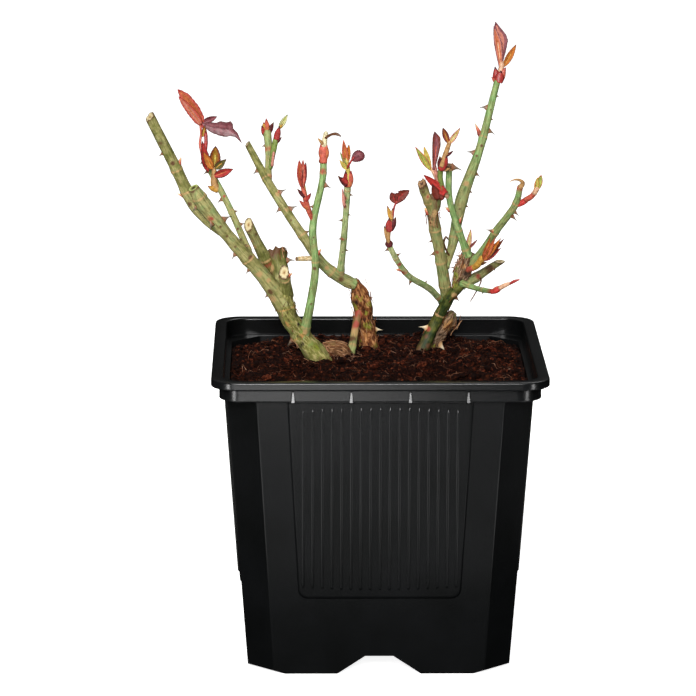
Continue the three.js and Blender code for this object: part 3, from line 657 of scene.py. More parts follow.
# %% Crumbs, splinters and fibres
def turned_frame(heading, lean=0.0):
    """Three axes for a small thing that lies at a heading, with its long axis leaning up."""
    along = np.array([math.cos(heading) * math.cos(lean), math.sin(heading) * math.cos(lean), math.sin(lean)])
    across = np.array([-math.sin(heading), math.cos(heading), 0])
    return along, across, np.cross(along, across)


def litter_spot(reach=0.985):
    u, v = dice.uniform(-reach, reach), dice.uniform(-reach, reach)
    return inside_point(u, v, soil["level"], 0.8)


def crumb(batch, length, width, depth, finish):
    """A broken lump or splinter: five rough rings along it."""
    x, y = litter_spot()
    along, across, above = turned_frame(dice.uniform(0, 2 * math.pi), dice.uniform(-0.5, 0.5))
    centre = np.array([x, y, peat_height(x, y) + depth * dice.uniform(0.0, 0.7)])
    rings = []
    for share, size in ((-0.5, 0.35), (-0.25, 0.85), (0.05, 1.0), (0.3, 0.8), (0.5, 0.3)):
        ring = []
        for k in range(5):
            angle, rough = k * 2 * math.pi / 5, size * dice.uniform(0.7, 1.2) / 2
            ring.append(centre + along * share * length + across * width * rough * math.cos(angle)
                        + above * depth * rough * math.sin(angle))
        rings.append(ring)
    batch.add(*loft(rings), finish)


def fibre(batch, x, y, heading, length, thick, lift, finish=0):
    """A thin hair that wanders over the bed."""
    steps = max(4, round(length / 1.6))
    turn = dice.uniform(-0.12, 0.12)
    rings = []
    for share in np.linspace(0, 1, steps + 1):
        z = peat_height(x, y) + 0.25 + lift * math.sin(math.pi * share) + 0.3 * math.sin(share * 9 + heading)
        _, across, above = turned_frame(heading)
        size = thick / 2 * (1 - 0.6 * share)
        middle = np.array([x, y, z])
        rings.append([middle + size * (across * math.cos(a) + above * math.sin(a)) for a in (0, 2.09, 4.19)])
        heading += turn + dice.uniform(-0.22, 0.22)
        u, v = x + length / steps * math.cos(heading), y + length / steps * math.sin(heading)
        if max(abs(u), abs(v)) > 82:    # the pot's wall turns it back
            heading += math.pi
        else:
            x, y = u, v
    batch.add(*loft(rings), finish)


stem_feet = ((-34, 8), (-27, 12), (-17, 12), (-15, 16), (-4, 38), (24, 25), (28, 35))


def make_litter():
    crumbs, hairs = Batch(), Batch()
    for count, small, large, wide, deep in ((3000, 0.9, 2.8, 0.9, 0.8), (260, 3, 6.5, 0.8, 0.7)):
        for _ in range(count):
            size = dice.uniform(small, large)
            width, height = size * dice.uniform(0.5, wide), size * dice.uniform(0.4, deep)
            crumb(crumbs, size, width, height, dice.choice((0, 0, 1)))
    for _ in range(700):
        crumb(crumbs, dice.uniform(2.5, 8), dice.uniform(0.4, 1.2), dice.uniform(0.3, 0.7), 1)
    place_piece(crumbs.build("compost_crumbs", [peat, bark_crumb], sharp=40), "compost")
    for _ in range(1100):
        spot, thick = litter_spot(0.95), dice.choice((0.14, 0.2, 0.3))
        fibre(hairs, *spot, dice.uniform(0, 2 * math.pi), dice.uniform(2.5, 10), thick, dice.uniform(0, 1.4),
              dice.choice((0, 1, 1)))
    for foot in stem_feet * 9:
        x, y = foot[0] + dice.gauss(0, 2.5), foot[1] + dice.gauss(-2, 2.5)
        fibre(hairs, x, y, dice.uniform(-2.6, -0.5), dice.uniform(4, 9), 0.4, dice.uniform(0.6, 2.5))
    place_piece(hairs.build("compost_fibres", [coir, bark_crumb]), "compost")


make_litter()


# %% [markdown]
# ## Limbs
#
# A cane is a round limb through a few points, with a thickness at each of
# them. The smooth line between the points is a centripetal Catmull-Rom curve,
# which never overshoots a bend. Directions round the limb are given as a
# gardener would walk round it: 0 is on the right, 90 behind, 180 on the left
# and 270 in front.

# %% The line of a limb
def curve_through(points, steps=24):
    """Places on the smooth line through the points, steps of them for each stretch."""
    points = [np.array(point, float) for point in points]
    run = [2 * points[0] - points[1], *points, 2 * points[-1] - points[-2]]
    places = []
    for before, here, there, after in zip(run, run[1:], run[2:], run[3:]):
        spans = ((before, here), (here, there), (there, after))
        d0, d1, d2 = (np.linalg.norm(b - a) ** 0.5 for a, b in spans)
        leave = ((here - before) / d0 - (there - before) / (d0 + d1) + (there - here) / d1) * d1
        arrive = ((there - here) / d1 - (after - here) / (d1 + d2) + (after - there) / d2) * d1
        for step in range(steps):
            t = step / steps
            places.append(here * (2 * t ** 3 - 3 * t ** 2 + 1) + leave * (t ** 3 - 2 * t ** 2 + t)
                          + there * (3 * t ** 2 - 2 * t ** 3) + arrive * (t ** 3 - t ** 2))
    places.append(points[-1])
    return np.array(places)


class Limb:
    """A round limb: where it runs, how thick it is, and what stands out of it where."""

    def __init__(self, path, thick):
        self.places = curve_through(path)
        travel = np.linalg.norm(np.diff(self.places, axis=0), axis=1)
        self.travel = np.concatenate([[0], np.cumsum(travel)])
        self.length = self.travel[-1]
        reach = np.linspace(0, len(thick) - 1, len(self.places))
        self.radii = np.interp(reach, np.arange(len(thick)), thick) / 2

    def middle(self, s):
        """The middle of the limb s millimetres from its start."""
        return np.array([np.interp(s, self.travel, self.places[:, k]) for k in range(3)])

    def at(self, along):
        """Centre, radius and the axes (right, behind, ahead) at a share of the length."""
        s = along * self.length
        centre = self.middle(s)
        radius = float(np.interp(s, self.travel, self.radii))
        near = 0.6
        back, fore = self.middle(max(s - near, 0)), self.middle(min(s + near, self.length))
        ahead = (fore - back) / np.linalg.norm(fore - back)
        right = np.cross((0, 1, 0), ahead)
        right = right / np.linalg.norm(right)
        return centre, radius, right, np.cross(ahead, right), ahead

    def spot(self, along, around):
        """A place on the bark: its centre, radius, outward direction and the limb's direction."""
        centre, radius, right, behind, ahead = self.at(along)
        angle = math.radians(around)
        return centre, radius, right * math.cos(angle) + behind * math.sin(angle), ahead


def bumps(points, size, seed=0.0):
    """Smooth noise from -1 to 1 at each point, with bumps of about the size given."""
    shift = Vector((seed, seed * 1.7, seed * 0.6))
    return np.array([noise.noise(Vector(point) / size + shift) for point in points])


# %% Bark over a limb
def bark_skin(batch, limb, seed, scars=(), rough=0.03, strands=0.0, flare=0.0, end="cut", slant=(0.0, 0.0),
              ragged=0.0, tone=0.5, weather=0.0, dirt=0.0, blush=(), spots={}, gnarl=(1.0, 0.0)):
    """Draws the bark: leaf scars swell it, strands run along it, and a cut or a round tip ends it."""
    tones = (tone, tone) if isinstance(tone, float) else tone
    sides = int(min(40, 12 + 3.2 * limb.radii.max()))
    rows = max(6, round(limb.length / 0.7)) + 1
    angles = np.arange(sides) * 2 * math.pi / sides
    rings, marks = [], {name: [] for name in ("straight", "scar", "weather", "blush", "tone", "core")}
    for along in np.linspace(0, 1, rows):
        s = along * limb.length
        left = limb.length - s
        centre, radius, right, behind, ahead = limb.at(along)
        swell, scar = flare * math.exp(-s / max(radius, 1.0)), 0.0
        for place in scars:
            far = s - place * limb.length
            swell += 0.12 * math.exp(-(far / 2.0) ** 2) - 0.07 * math.exp(-((far - 0.8) / 0.45) ** 2)
            scar = max(scar, math.exp(-(far / 0.8) ** 2))
        if end == "tip":
            swell -= max(0.0, along - 0.8) * 3
        flat = [(radius * math.cos(a), radius * math.sin(a), s) for a in angles]
        lumps = bumps([(x, y, z * 0.5) for x, y, z in flat], 3.4, seed)
        ridges = bumps([(x, y, z * 0.14) for x, y, z in flat], 1.1, seed + 5)
        knotty = gnarl[1] * min(1.0, max(0.0, along - gnarl[0]) * 8)
        size = radius * (1 + swell + (rough + knotty) * 1.6 * lumps)
        size += (0.07 + strands + 1.5 * knotty) * ridges
        near_end = max(0.0, 1 - left / (2.2 * radius)) if end == "cut" else 0.0
        lean = slant[0] * radius * near_end * np.cos(angles - math.radians(slant[1]))
        rim = [(3 * math.cos(a), 3 * math.sin(a), seed) for a in angles]
        frayed = ragged * near_end * bumps(rim, 1.1, seed)
        spread = np.outer(np.cos(angles) * size, right) + np.outer(np.sin(angles) * size, behind)
        rings.append(centre + spread + np.outer(lean + frayed, ahead))
        dry = weather + 0.9 * math.exp(-left / 0.9) * (end == "cut")
        dry += dirt * math.exp(-(s / 7) ** 2) + 3 * knotty
        red = sum(strength * math.exp(-((s - place * limb.length) / reach) ** 2)
                  for place, reach, strength in blush)
        here = {"scar": scar * (0.75 + 0.35 * lumps), "blush": red,
                "weather": dry + 0.35 * lumps * (dry > 0.02)}
        for name, values in here.items():
            for place, around, wide in spots.get(name, ()):
                across = radius * np.radians((np.degrees(angles) - around + 180) % 360 - 180)
                far = ((s - place * limb.length) ** 2 + across ** 2) / (wide / 2) ** 2
                values = np.maximum(values, 1.1 * np.exp(-far))
            marks[name].append(np.clip(values + np.zeros(sides), 0, 1))
        marks["straight"].append(np.array(flat) * MM)
        marks["tone"].append(np.full(sides, tones[0] + (tones[1] - tones[0]) * along))
        marks["core"].append(np.ones(sides))
    closed = 1 if end == "cut" else 0
    finish = [0] * ((rows - 1) * sides)
    middle, last = rings[-1].mean(0), rings[-1]
    for share, sunk in ((0.93, -0.12), (0.86, 0.02), (0.6, 0.08), (0.34, 0.05), (0.2, 0.3))[:5 * closed]:
        rings.append(middle + (last - middle) * share - ahead * sunk)
        for name, held in marks.items():
            worn = np.full(sides, share if name == "core" else 0.0)
            held.append(held[-1] if name in ("straight", "tone") else worn)
        finish += [1] * sides
    points, faces = loft(rings)
    for name, held in marks.items():
        values = np.concatenate(held)
        marks[name] = np.concatenate([values, values[:1], 0 * values[-1:] if name == "core" else values[-1:]])
    batch.add(points, faces, finish + [0] * sides + [closed] * sides, **marks)


def splinters(batch, limb, count, start=0.0, rough=0.03):
    """Loose strips of old bark that lie along a limb and lift at their ends."""
    for _ in range(count):
        along, around = dice.uniform(start, 0.9), dice.uniform(0, 360)
        length, width = dice.uniform(3, 8), dice.uniform(0.25, 0.6)
        twist, lift = dice.uniform(-25, 25), dice.uniform(0.3, 1.0)
        rings = []
        for share in np.linspace(0, 1, 6):
            place = min(along + share * length / limb.length, 1.0)
            centre, radius, outward, ahead = limb.spot(place, around + twist * share)
            beside = np.cross(outward, ahead) * width / 2 * (1.1 - share)
            high = radius * (1.02 + 0.7 * rough) + lift * (2 * share - 1) ** 2
            rings.append([centre + outward * (high + up) + beside * across
                          for across, up in ((-1, 0), (1, 0), (0.6, 0.3), (-0.6, 0.3))])
        batch.add(*loft(rings), dice.choice((0, 1, 1)))


# %% Thorns and buds
def prickle(batch, limb, along, around, length=3.0, finish=0):
    """A rose's thorn: long-footed, flat-sided, its point hooked a little down."""
    centre, radius, outward, ahead = limb.spot(along, around)
    beside = np.cross(outward, ahead)
    root = centre + outward * (radius - 0.35)
    rings, reach = [], []
    for share in (0, 0.12, 0.28, 0.48, 0.68, 0.86, 1.0):
        middle = root + outward * share * (length + 0.3) - ahead * 0.3 * length * share ** 2
        tall = length * (0.52 * (1 - share) ** 2.2 + 0.05)
        wide = length * (0.2 * (1 - share) ** 1.6 + 0.03)
        angles = np.arange(8) * math.pi / 4
        rings.append([middle + beside * wide * math.cos(a) + ahead * tall * math.sin(a) for a in angles])
        reach += [share] * 8
    points, faces = loft(rings)
    batch.add(points, faces, finish, reach=reach + [0, 1.0])


def pointed_body(batch, root, tip, width, finish=0, scales=3, seed=0.0):
    """A bud or a closed sheath: a pointed body wound with the edges of its scales."""
    ahead = (tip - root) / np.linalg.norm(tip - root)
    right = np.cross((0, 1, 0), ahead)
    right = right / np.linalg.norm(right)
    behind = np.cross(ahead, right)
    rings, reach = [], []
    sides = 14
    angles = np.arange(sides) * 2 * math.pi / sides
    for share in np.linspace(0, 1, 14):
        plump = 0.62 * (1 - share) + math.sin(math.pi * min(1.0, share * 0.9 + 0.12)) * 0.62
        winding = (share * scales + angles / (2 * math.pi) + seed) % 1.0
        size = width / 2 * max(0.07, plump * (1 - share ** 5)) * (1 - 0.12 * winding)
        spread = np.outer(np.cos(angles) * size, right) + np.outer(np.sin(angles) * size, behind)
        rings.append(root + (tip - root) * share + spread)
        reach += [share] * sides
    points, faces = loft(rings)
    batch.add(points, faces, finish, reach=reach + [0, 1.0])


def bud(batch, limb, along, around, length, width):
    """A bud that leans up along its cane."""
    centre, radius, outward, ahead = limb.spot(along, around)
    root = centre + outward * radius * 0.5
    tip = root + outward * length * 0.62 + ahead * length * 0.78
    pointed_body(batch, root, root + (tip - root) * 0.6, width, 1, seed=along)
    pointed_body(batch, root, tip, width * 0.72, 0, seed=along + 0.4)


# %% [markdown]
# ## Bark, thorns and fresh cuts
#
# Young rose bark is a thin waxy skin, green because it still feeds the plant.
# It is streaked along the cane, dotted with pores, tan at each leaf scar and
# brown where it has weathered. All of that has a place on the cane, so the
# material reads the marks that the skin left at each point, and coordinates of
# the cane rolled out straight, which carry the streaks round every bend.

# %% Green bark
def paint_marks(tree, colour, frayed, paints):
    """Lays a colour over each mark of the bark, with an edge frayed by the bark's grain."""
    for name, paint, low, high in paints:
        amount = rescale(tree, combine(tree, "MULTIPLY", mark(tree, name), frayed), low, high)
        colour = blend(tree, amount, colour, linear(paint))
    return colour


# Waxy living bark: IOR about 1.45, half glossy. It gives the eye soft highlights
# along the cane and a colour that shifts between olive, mint and yellow green.
def green_rose_bark():
    material, tree, shader = new_material("green_rose_bark", Roughness=0.6, IOR=1.45, Specular_IOR_Level=0.35)
    streak_mm, pore_mm, patch_mm = 0.9, 2.1, 4.5
    straight = mark(tree, "straight", "Vector")
    streak = noise_at(tree, stretched(tree, straight, 0.14), streak_mm, Detail=3.0)
    patch = noise_at(tree, straight, patch_mm, Detail=3.0)
    toned = combine(tree, "ADD", mark(tree, "tone"), rescale(tree, patch, 0.3, 0.7, -0.16, 0.16))
    # The palest stop is lighter than the bark's own colour: it is partly painted light, for canes that stand
    # in shadow.
    green = ramp(tree, toned, (0.0, "#2a3a14"), (0.18, "#666a2e"), (0.34, "#86854a"), (0.46, "#a59d66"),
                 (0.6, "#95a066"), (0.78, "#84a866"), (1.0, "#c2c88e"))
    streaked = blend(tree, 0.8, green, ramp(tree, streak, (0.32, "#9a9a86"), (0.6, "#ffffff")), "MULTIPLY")
    cells = add_node(tree, "TexVoronoi", {"Vector": straight, "Scale": 1 / (pore_mm * MM)})
    pores = cells.outputs["Distance"]
    dotted = blend(tree, ramp(tree, pores, (0.08, "#ffffff"), (0.15, "#000000")), streaked, linear("#5f4c2e"))
    marked = paint_marks(tree, dotted, rescale(tree, streak, 0.3, 0.7, 0.45, 1.45), (
        ("weather", "#5e4028", 0.22, 0.75), ("scar", "#b09060", 0.25, 0.7), ("blush", "#a04a3a", 0.12, 0.8)))
    dress(tree, shader, marked, combine(tree, "ADD", streak, pores), 0.5, 0.25)
    return material


# %% Old bark
# Dead cork and dry wood fibre: rough, IOR about 1.5. It gives the eye no gloss but a
# great spread of browns, from dark cracks to orange inner bark.
def old_rose_bark(name, dark, mid, light, moss, strand_mm):
    material, tree, shader = new_material(name, Roughness=0.85, IOR=1.5, Specular_IOR_Level=0.3)
    straight, moss_mm = mark(tree, "straight", "Vector"), 6
    drawn = stretched(tree, straight, 0.35)
    strand = noise_at(tree, drawn, strand_mm, Detail=5.0, Roughness=0.65, Distortion=0.6)
    browns = ramp(tree, strand, (0.34, dark), (0.5, mid), (0.66, light))
    mossy = ramp(tree, noise_at(tree, straight, moss_mm, Detail=2.0), (0.58, "#000000"), (0.68, "#ffffff"))
    frayed = rescale(tree, strand, 0.3, 0.7, 0.1, 1.6)
    marked = paint_marks(tree, blend(tree, mossy, browns, linear(moss)), frayed, (
        ("scar", "#c08a50", 0.3, 1.0), ("blush", "#7f8a28", 0.3, 1.0), ("weather", "#1c0c06", 0.3, 1.0)))
    dress(tree, shader, marked, strand, 0.9, 0.7)
    return material


# %% Cut wood
# A pruning cut: pale moist wood, rings of bark and cambium at its edge, and a softer
# brown pith in the middle. The mark core is 1 at the bark and 0 at the centre.
def pruning_cut(name, pith, wood, sapwood, cambium, bark):
    material, tree, shader = new_material(name, Roughness=0.65, IOR=1.45)
    grain_mm = 1.3
    grain = noise_at(tree, mark(tree, "straight", "Vector"), grain_mm)
    place = combine(tree, "ADD", mark(tree, "core"), rescale(tree, grain, 0.3, 0.7, -0.14, 0.14))
    colour = ramp(tree, place, (0.1, pith), (0.3, wood), (0.62, sapwood), (0.84, cambium), (0.95, bark))
    dress(tree, shader, colour, grain, 0.5, 0.3)
    return material


# %% Thorns and bud scales
# A thorn is dry cork, hard and slightly glossy: grey-brown at its point, and orange
# red at its foot where the sap still reaches it.
def cork_thorn(name, foot, middle, point):
    material, tree, shader = new_material(name, Roughness=0.5, IOR=1.5)
    colour = ramp(tree, mark(tree, "reach"), (0.1, foot), (0.45, middle), (0.95, point))
    tree.links.new(colour, shader.inputs["Base Color"])
    return material


green_bark = green_rose_bark()
barks = {
    "stump": old_rose_bark("stump_bark", "#1e0c06", "#7c4420", "#d29a64", "#8f8a30", 1.2),
    "burl": old_rose_bark("burl_bark", "#2c180c", "#7c5434", "#c89c70", "#7d6236", 0.8),
    "knuckle": old_rose_bark("knuckle_bark", "#1c110b", "#6c523a", "#bc9c80", "#6f7434", 0.9),
    "rind": old_rose_bark("rind_bark", "#4e3e20", "#80803e", "#bfae78", "#7c8e46", 1.3),
    "spur": old_rose_bark("spur_bark", "#8a6c42", "#cdb88a", "#e8dcb8", "#a88c54", 1.0),
}
cuts = {
    "fresh": pruning_cut("fresh_pruning_cut", "#8a6638", "#c4ad7c", "#d2c49a", "#a6966a", "#5a4028"),
    "hollow": pruning_cut("hollow_cut", "#2c2412", "#4a4020", "#8f9450", "#b9c27c", "#7c8a48"),
    "dry": pruning_cut("dry_cut", "#3a2416", "#6b4a30", "#a5835c", "#7e5c3c", "#4a3020"),
}
straw = old_rose_bark("bark_straw", "#7e4e30", "#c99a72", "#ecd0ae", "#b98a60", 2.0)
thorn = cork_thorn("cork_thorn", "#8f5a3a", "#746250", "#3e3834")
pale_thorn = cork_thorn("pale_thorn", "#c99a62", "#e0cfae", "#c8b89a")
bud_body = cork_thorn("bud_body", "#a8402f", "#c25f4a", "#d8c489")
bud_foot = cork_thorn("bud_foot", "#6b2c1c", "#96402c", "#b4604a")


# %% [markdown]
# ## The stems, stumps and canes
#
# Each entry below is one limb of the bush: the line it follows, its thickness
# in millimetres at each point of that line, and what grows on it. Thorns are
# given as (share of the length, direction round the limb, length), buds as
# (share, direction, length, width). Older wood is rougher and browner, so the
# entry also says how weathered the bark is and where the leaf scars lie. Spots
# are patches of one mark, each given as (share, direction, width).

# %% The limbs of the bush
limbs = {
    "left_stem": dict(
        path=[(-27, 6, 159), (-45.5, 7, 181.5), (-52.5, 5, 195), (-54.5, 4, 206)],
        thick=(12, 10.5, 10.8, 10.5), prickles=[(0.5, 185, 4.5), (0.6, 20, 2.5)],
        buds=[(0.88, 182, 6.5, 3.2)], scars=(0.5, 0.84), rough=0.12, bark="rind", strands=0.5, end="hidden",
        weather=0.12, dirt=0.5, straws=26,
        spots=dict(weather=[(0.62, 310, 4), (0.74, 330, 5), (0.42, 245, 4), (0.9, 290, 4)],
                   blush=[(0.3, 310, 6)], scar=[(0.7, 250, 5), (0.5, 285, 4)])),
    "graft_burl": dict(
        path=[(-37, 13, 167), (-29, 15, 169.5), (-21, 16, 169), (-15.5, 16, 165)], thick=(8.5, 9.5, 9, 7),
        bark="burl", rough=0.2, strands=0.7, end="tip", straws=60),
    "left_stump": dict(
        path=[(-54.5, 4, 206), (-56.5, 7, 215.5), (-58.5, 10, 224.5), (-59.5, 12, 229)],
        thick=(10, 10, 12, 12.5),
        prickles=[(0.72, 0, 4.5), (0.97, 60, 3), (0.97, 200, 3), (0.98, 330, 2.5)], rough=0.1, strands=0.3,
        cut="dry", ragged=2.6, tone=(0.4, 0.2), weather=0.05, gnarl=(0.66, 0.12), straws=18,
        straws_from=0.72,
        spots=dict(weather=[(0.55, 190, 9), (0.9, 230, 8), (0.92, 280, 5)], scar=[(0.6, 215, 5)])),
    "left_stump_stub": dict(
        path=[(-62, 10, 219), (-69.5, 2, 235.5), (-74.5, -6, 247.5)], thick=(8, 6, 6), scars=(0.22,),
        cut="fresh", flare=0.1, tone=(0.22, 0.5), weather=0.02, slant=(0.9, 45), blush=((0.14, 1.8, 0.6),),
        spots=dict(weather=[(0.8, 300, 2.4), (0.86, 220, 3)], scar=[(0.7, 225, 3), (0.55, 215, 3)])),
    "left_cut_stub": dict(
        path=[(-53, 5, 204), (-53.5, -2, 213), (-54, -8, 220)], thick=(9, 7, 5.6),
        buds=[(0.8, 350, 6, 2.4)], scars=(0.8,), tone=(0.3, 0.4), weather=0.05, slant=(1.1, 80),
        spots=dict(blush=[(0.94, 0, 4)], weather=[(0.9, 180, 3)])),
    "left_cane": dict(
        path=[(-54, 5, 198.5), (-65.5, -2, 216), (-86.5, -12, 242.5), (-99.5, -20, 261.5),
              (-105.5, -24, 272)],
        thick=(11, 8.6, 7.2, 9, 6), cut="hollow",
        prickles=[(0.12, 185, 2.5), (0.34, 190, 3), (0.48, 195, 3.6), (0.71, 0, 5), (0.75, 235, 4.5),
                  (0.88, 185, 3.4), (0.55, 80), (0.2, 100)],
        buds=[(0.88, 10, 4.5, 2.2)], scars=(0.4, 0.93), flare=0.1, tone=(0.42, 0.5), weather=0.04,
        rough=0.04, strands=0.1,
        spots=dict(weather=[(0.7, 275, 1.8), (0.62, 270, 1.8), (0.53, 265, 1.8), (0.15, 250, 4),
                            (0.41, 300, 3.5)],
                   scar=[(0.29, 260, 4), (0.22, 290, 3), (0.8, 245, 2.4), (0.1, 230, 5)],
                   blush=[(0.78, 250, 3.4)])),
    "left_top_cane": dict(
        path=[(-90, -11, 244), (-97.5, -14, 252), (-105, -15.5, 260.5), (-116, -21, 284),
              (-129.5, -36, 314.5)],
        thick=(5, 7.4, 7.4, 6.6, 5.8), prickles=[(0.7, 185, 2.8), (0.75, 90)],
        buds=[(0.56, 0, 7, 3), (0.34, 182, 6.5, 2.6)], scars=(0.38, 0.55), tone=(0.45, 0.36), weather=0.08,
        slant=(0.5, 10), ragged=1.2, spots=dict(weather=[(0.3, 240, 3), (0.62, 270, 3), (0.8, 250, 3)])),
    "left_side_cane": dict(
        path=[(-73, -4, 226), (-78, 8, 237.5), (-88, 24, 257), (-97, 38, 271.5), (-101, 43, 278.5)],
        thick=(5.4, 4, 3.7, 3.5, 3.2),
        prickles=[(0.34, 10, 3), (0.46, 15, 2.6), (0.6, 185, 3.6), (0.88, 190, 3), (0.97, 180, 2.5)],
        scars=(0.12, 0.47), flare=0.3, tone=(0.4, 0.7), end="hidden", blush=((0.97, 6, 0.8),),
        spots=dict(blush=[(0.6, 280, 1.8)], weather=[(0.3, 260, 2), (0.12, 270, 3.5), (0.2, 240, 2)])),
    "slim_cane": dict(
        path=[(-43, 6, 178), (-38.5, 1, 202), (-36, -4, 222.5), (-37.5, -8, 246.5), (-32, -12, 275.5),
              (-31.5, -13, 293)],
        thick=(6, 4.8, 4.4, 4.4, 3.8, 3.9), prickles=[(0.82, 350, 4), (0.35, 90, 2.5), (0.7, 180, 2.5)],
        buds=[(0.45, 10, 5.5, 2.8), (0.62, 90, 4, 2)], scars=(0.07, 0.42, 0.88), flare=0.3,
        tone=(0.66, 0.76), end="hidden",
        spots=dict(weather=[(0.39, 260, 2.4), (0.55, 280, 1.2), (0.2, 280, 1.4)], blush=[(0.89, 260, 3.4)],
                   scar=[(0.05, 270, 4)])),
    "slim_spur": dict(
        path=[(-36, -3.5, 227.5), (-47, -9, 228)], thick=(2.8, 2.4), bark="spur",
        scars=(0.3, 0.5, 0.7, 0.88), rough=0.05, cut="dry"),
    "middle_leg": dict(
        path=[(-16.5, 13, 161), (-13.5, 25, 174), (-12.5, 30, 179.5), (-9.5, 36, 190)],
        thick=(5, 4.4, 4.2, 5), tone=(0.66, 0.3), weather=0.15, end="hidden", rough=0.08,
        blush=((0.95, 6, 1.0),), strands=0.2, scars=(0.35,),
        spots=dict(scar=[(0.6, 275, 8)], blush=[(0.72, 255, 6)], weather=[(0.45, 240, 5)])),
    "middle_stump": dict(
        path=[(-3, 41.5, 160), (-6.5, 40, 181), (-9, 36, 195.5), (-12.5, 33, 208)],
        thick=(11, 10.5, 10.5, 9.5), prickles=[(0.32, 0, 4, "pale"), (0.72, 10, 2.5)], bark="stump",
        rough=0.16, strands=1.0, end="tip", straws=40,
        spots=dict(blush=[(0.42, 285, 7), (0.1, 320, 8)],
                   scar=[(0.3, 260, 4), (0.6, 250, 4), (0.85, 300, 5)],
                   weather=[(0.42, 228, 4), (0.24, 310, 3), (0.74, 225, 5)])),
    "middle_cane": dict(
        path=[(-12.5, 33, 205), (-17, 32, 207), (-30, 26, 217), (-45, 25, 238), (-63.5, 42, 264.5),
              (-75.5, 56, 284.5)],
        thick=(6, 7.4, 6.2, 5.4, 5, 3.7), strands=0.06,
        prickles=[(0.56, 0, 4.4), (0.59, 190, 3.4), (0.67, 355, 4.4), (0.84, 185, 3.4), (0.41, 20, 3),
                  (0.42, 60, 3)],
        buds=[(0.66, 330, 3, 1.8)], scars=(0.16, 0.41, 0.78), flare=0.1, tone=(0.56, 0.3), slant=(1.0, 60),
        ragged=1.4,
        spots=dict(weather=[(0.3, 270, 1.4), (0.5, 260, 1.4), (0.1, 270, 4)],
                   scar=[(0.2, 280, 3), (0.56, 300, 3), (0.66, 300, 3)])),
    "middle_fork_cane": dict(
        path=[(-63.5, 43, 265), (-63, 48, 281), (-64, 52, 293)], thick=(4, 4, 5),
        prickles=[(0.45, 0, 1.8), (0.7, 180, 2.2)], scars=(0.1, 0.6), flare=0.2, tone=(0.45, 0.55),
        end="hidden", blush=((0.62, 1.5, 0.6), (0.05, 2, 0.5))),
    "middle_side_cane": dict(
        path=[(-21.5, 30, 211), (-20, 18, 228), (-18.5, 4, 251.5), (-17.5, -6, 272)],
        thick=(4.6, 3.8, 3.6, 3.8),
        prickles=[(0.3, 0, 2.2), (0.42, 180, 2.2), (0.62, 180, 2.8), (0.68, 0, 1.8), (0.88, 0, 2.2)],
        # a tone near 1 is partly painted light: this cane stands in shadow and its bark is drawn paler
        scars=(0.07, 0.44, 0.93), flare=0.4, tone=(0.92, 0.98), end="hidden", blush=((0.0, 5, 0.6),),
        spots=dict(blush=[(0.44, 240, 2.4), (0.78, 225, 3), (0.86, 225, 3)], weather=[(0.3, 270, 1.2)])),
    "right_stem": dict(
        path=[(23.5, 25, 160), (34.5, 29, 183), (42.5, 24, 199), (50, 20, 209.5)], thick=(7.6, 6.6, 6.2, 7),
        prickles=[(0.36, 190, 4.6, "pale"), (0.8, 0, 3), (0.5, 20, 2)], buds=[(0.5, 180, 3, 2.4)],
        scars=(0.55,), rough=0.07, strands=0.2, tone=(0.0, 0.12), weather=0.16, dirt=0.9, straws=10,
        end="hidden",
        spots=dict(blush=[(0.36, 220, 3)], scar=[(0.84, 285, 3.6)],
                   weather=[(0.2, 300, 4), (0.1, 260, 4), (0.28, 240, 3)])),
    "right_old_stump": dict(
        path=[(27, 37, 160), (37, 35, 175), (42.5, 33, 184), (45, 32, 188.5)], thick=(7, 7.4, 11, 9),
        prickles=[(0.38, 350, 5, "pale")], bark="knuckle", rough=0.2, strands=0.9, end="tip", straws=34,
        spots=dict(scar=[(0.8, 290, 9)], weather=[(0.8, 285, 2.6), (0.12, 270, 4)], blush=[(0.3, 280, 5)])),
    "right_cane": dict(
        path=[(40.8, 31, 193), (40.4, 28, 200.5), (39, 22.5, 210), (35.5, 13, 230.5), (31.5, 3, 252),
              (32.5, 0, 263)],
        thick=(4.5, 6.6, 7, 6.4, 7, 7.2), cut="dry",
        prickles=[(0.5, 185, 3.4), (0.62, 185, 2.6), (0.3, 90, 2.5)], buds=[(0.86, 185, 5.5, 4.4)],
        scars=(0.2, 0.42, 0.72), flare=0.05, tone=(0.5, 0.56), weather=0.06, rough=0.05, gnarl=(0.7, 0.14),
        ragged=3, straws=24, straws_from=0.74,
        spots=dict(scar=[(0.54, 300, 3), (0.3, 320, 3), (0.8, 250, 5), (0.88, 290, 5)],
                   blush=[(0.53, 240, 2.4)], weather=[(0.84, 225, 4)])),
    "right_cane_stub": dict(
        path=[(31, 2, 255), (24.5, -7, 271.5)], thick=(5.2, 5), scars=(0.3,), flare=0.3, tone=0.42,
        weather=0.3, rough=0.14, ragged=3, slant=(0.5, 20), strands=0.4, cut="dry",
        spots=dict(scar=[(0.55, 285, 4)], blush=[(0.56, 285, 1.6)], weather=[(0.8, 250, 3)])),
    "right_bow_cane": dict(
        path=[(38, 29, 195.5), (31, 15, 205.5), (16.5, -8, 219), (7.5, -22, 235), (6, -24, 239)],
        thick=(3.4, 4, 3.5, 3.2, 3),
        prickles=[(0.35, 20, 2.2), (0.55, 200, 3.4), (0.87, 20, 3), (0.97, 185, 3)],
        # a tone near 1 is partly painted light: this cane stands in shadow and its bark is drawn paler
        buds=[(0.72, 195, 5, 2.4)], scars=(0.1, 0.68, 0.86), flare=0.4, tone=(0.9, 0.98), end="hidden",
        spots=dict(blush=[(0.8, 270, 2.6), (0.7, 225, 4)], scar=[(0.1, 270, 4)],
                   weather=[(0.6, 290, 1.2)])),
    "right_tall_cane": dict(
        path=[(39, 19, 218.5), (43, 26, 226.5), (49.5, 38, 254), (60.5, 55, 281.5), (71.5, 72, 320)],
        thick=(5, 5, 7.4, 5, 3.8),
        prickles=[(0.33, 0, 2), (0.41, 0, 2), (0.51, 0, 3), (0.61, 180, 4.2), (0.74, 0, 4),
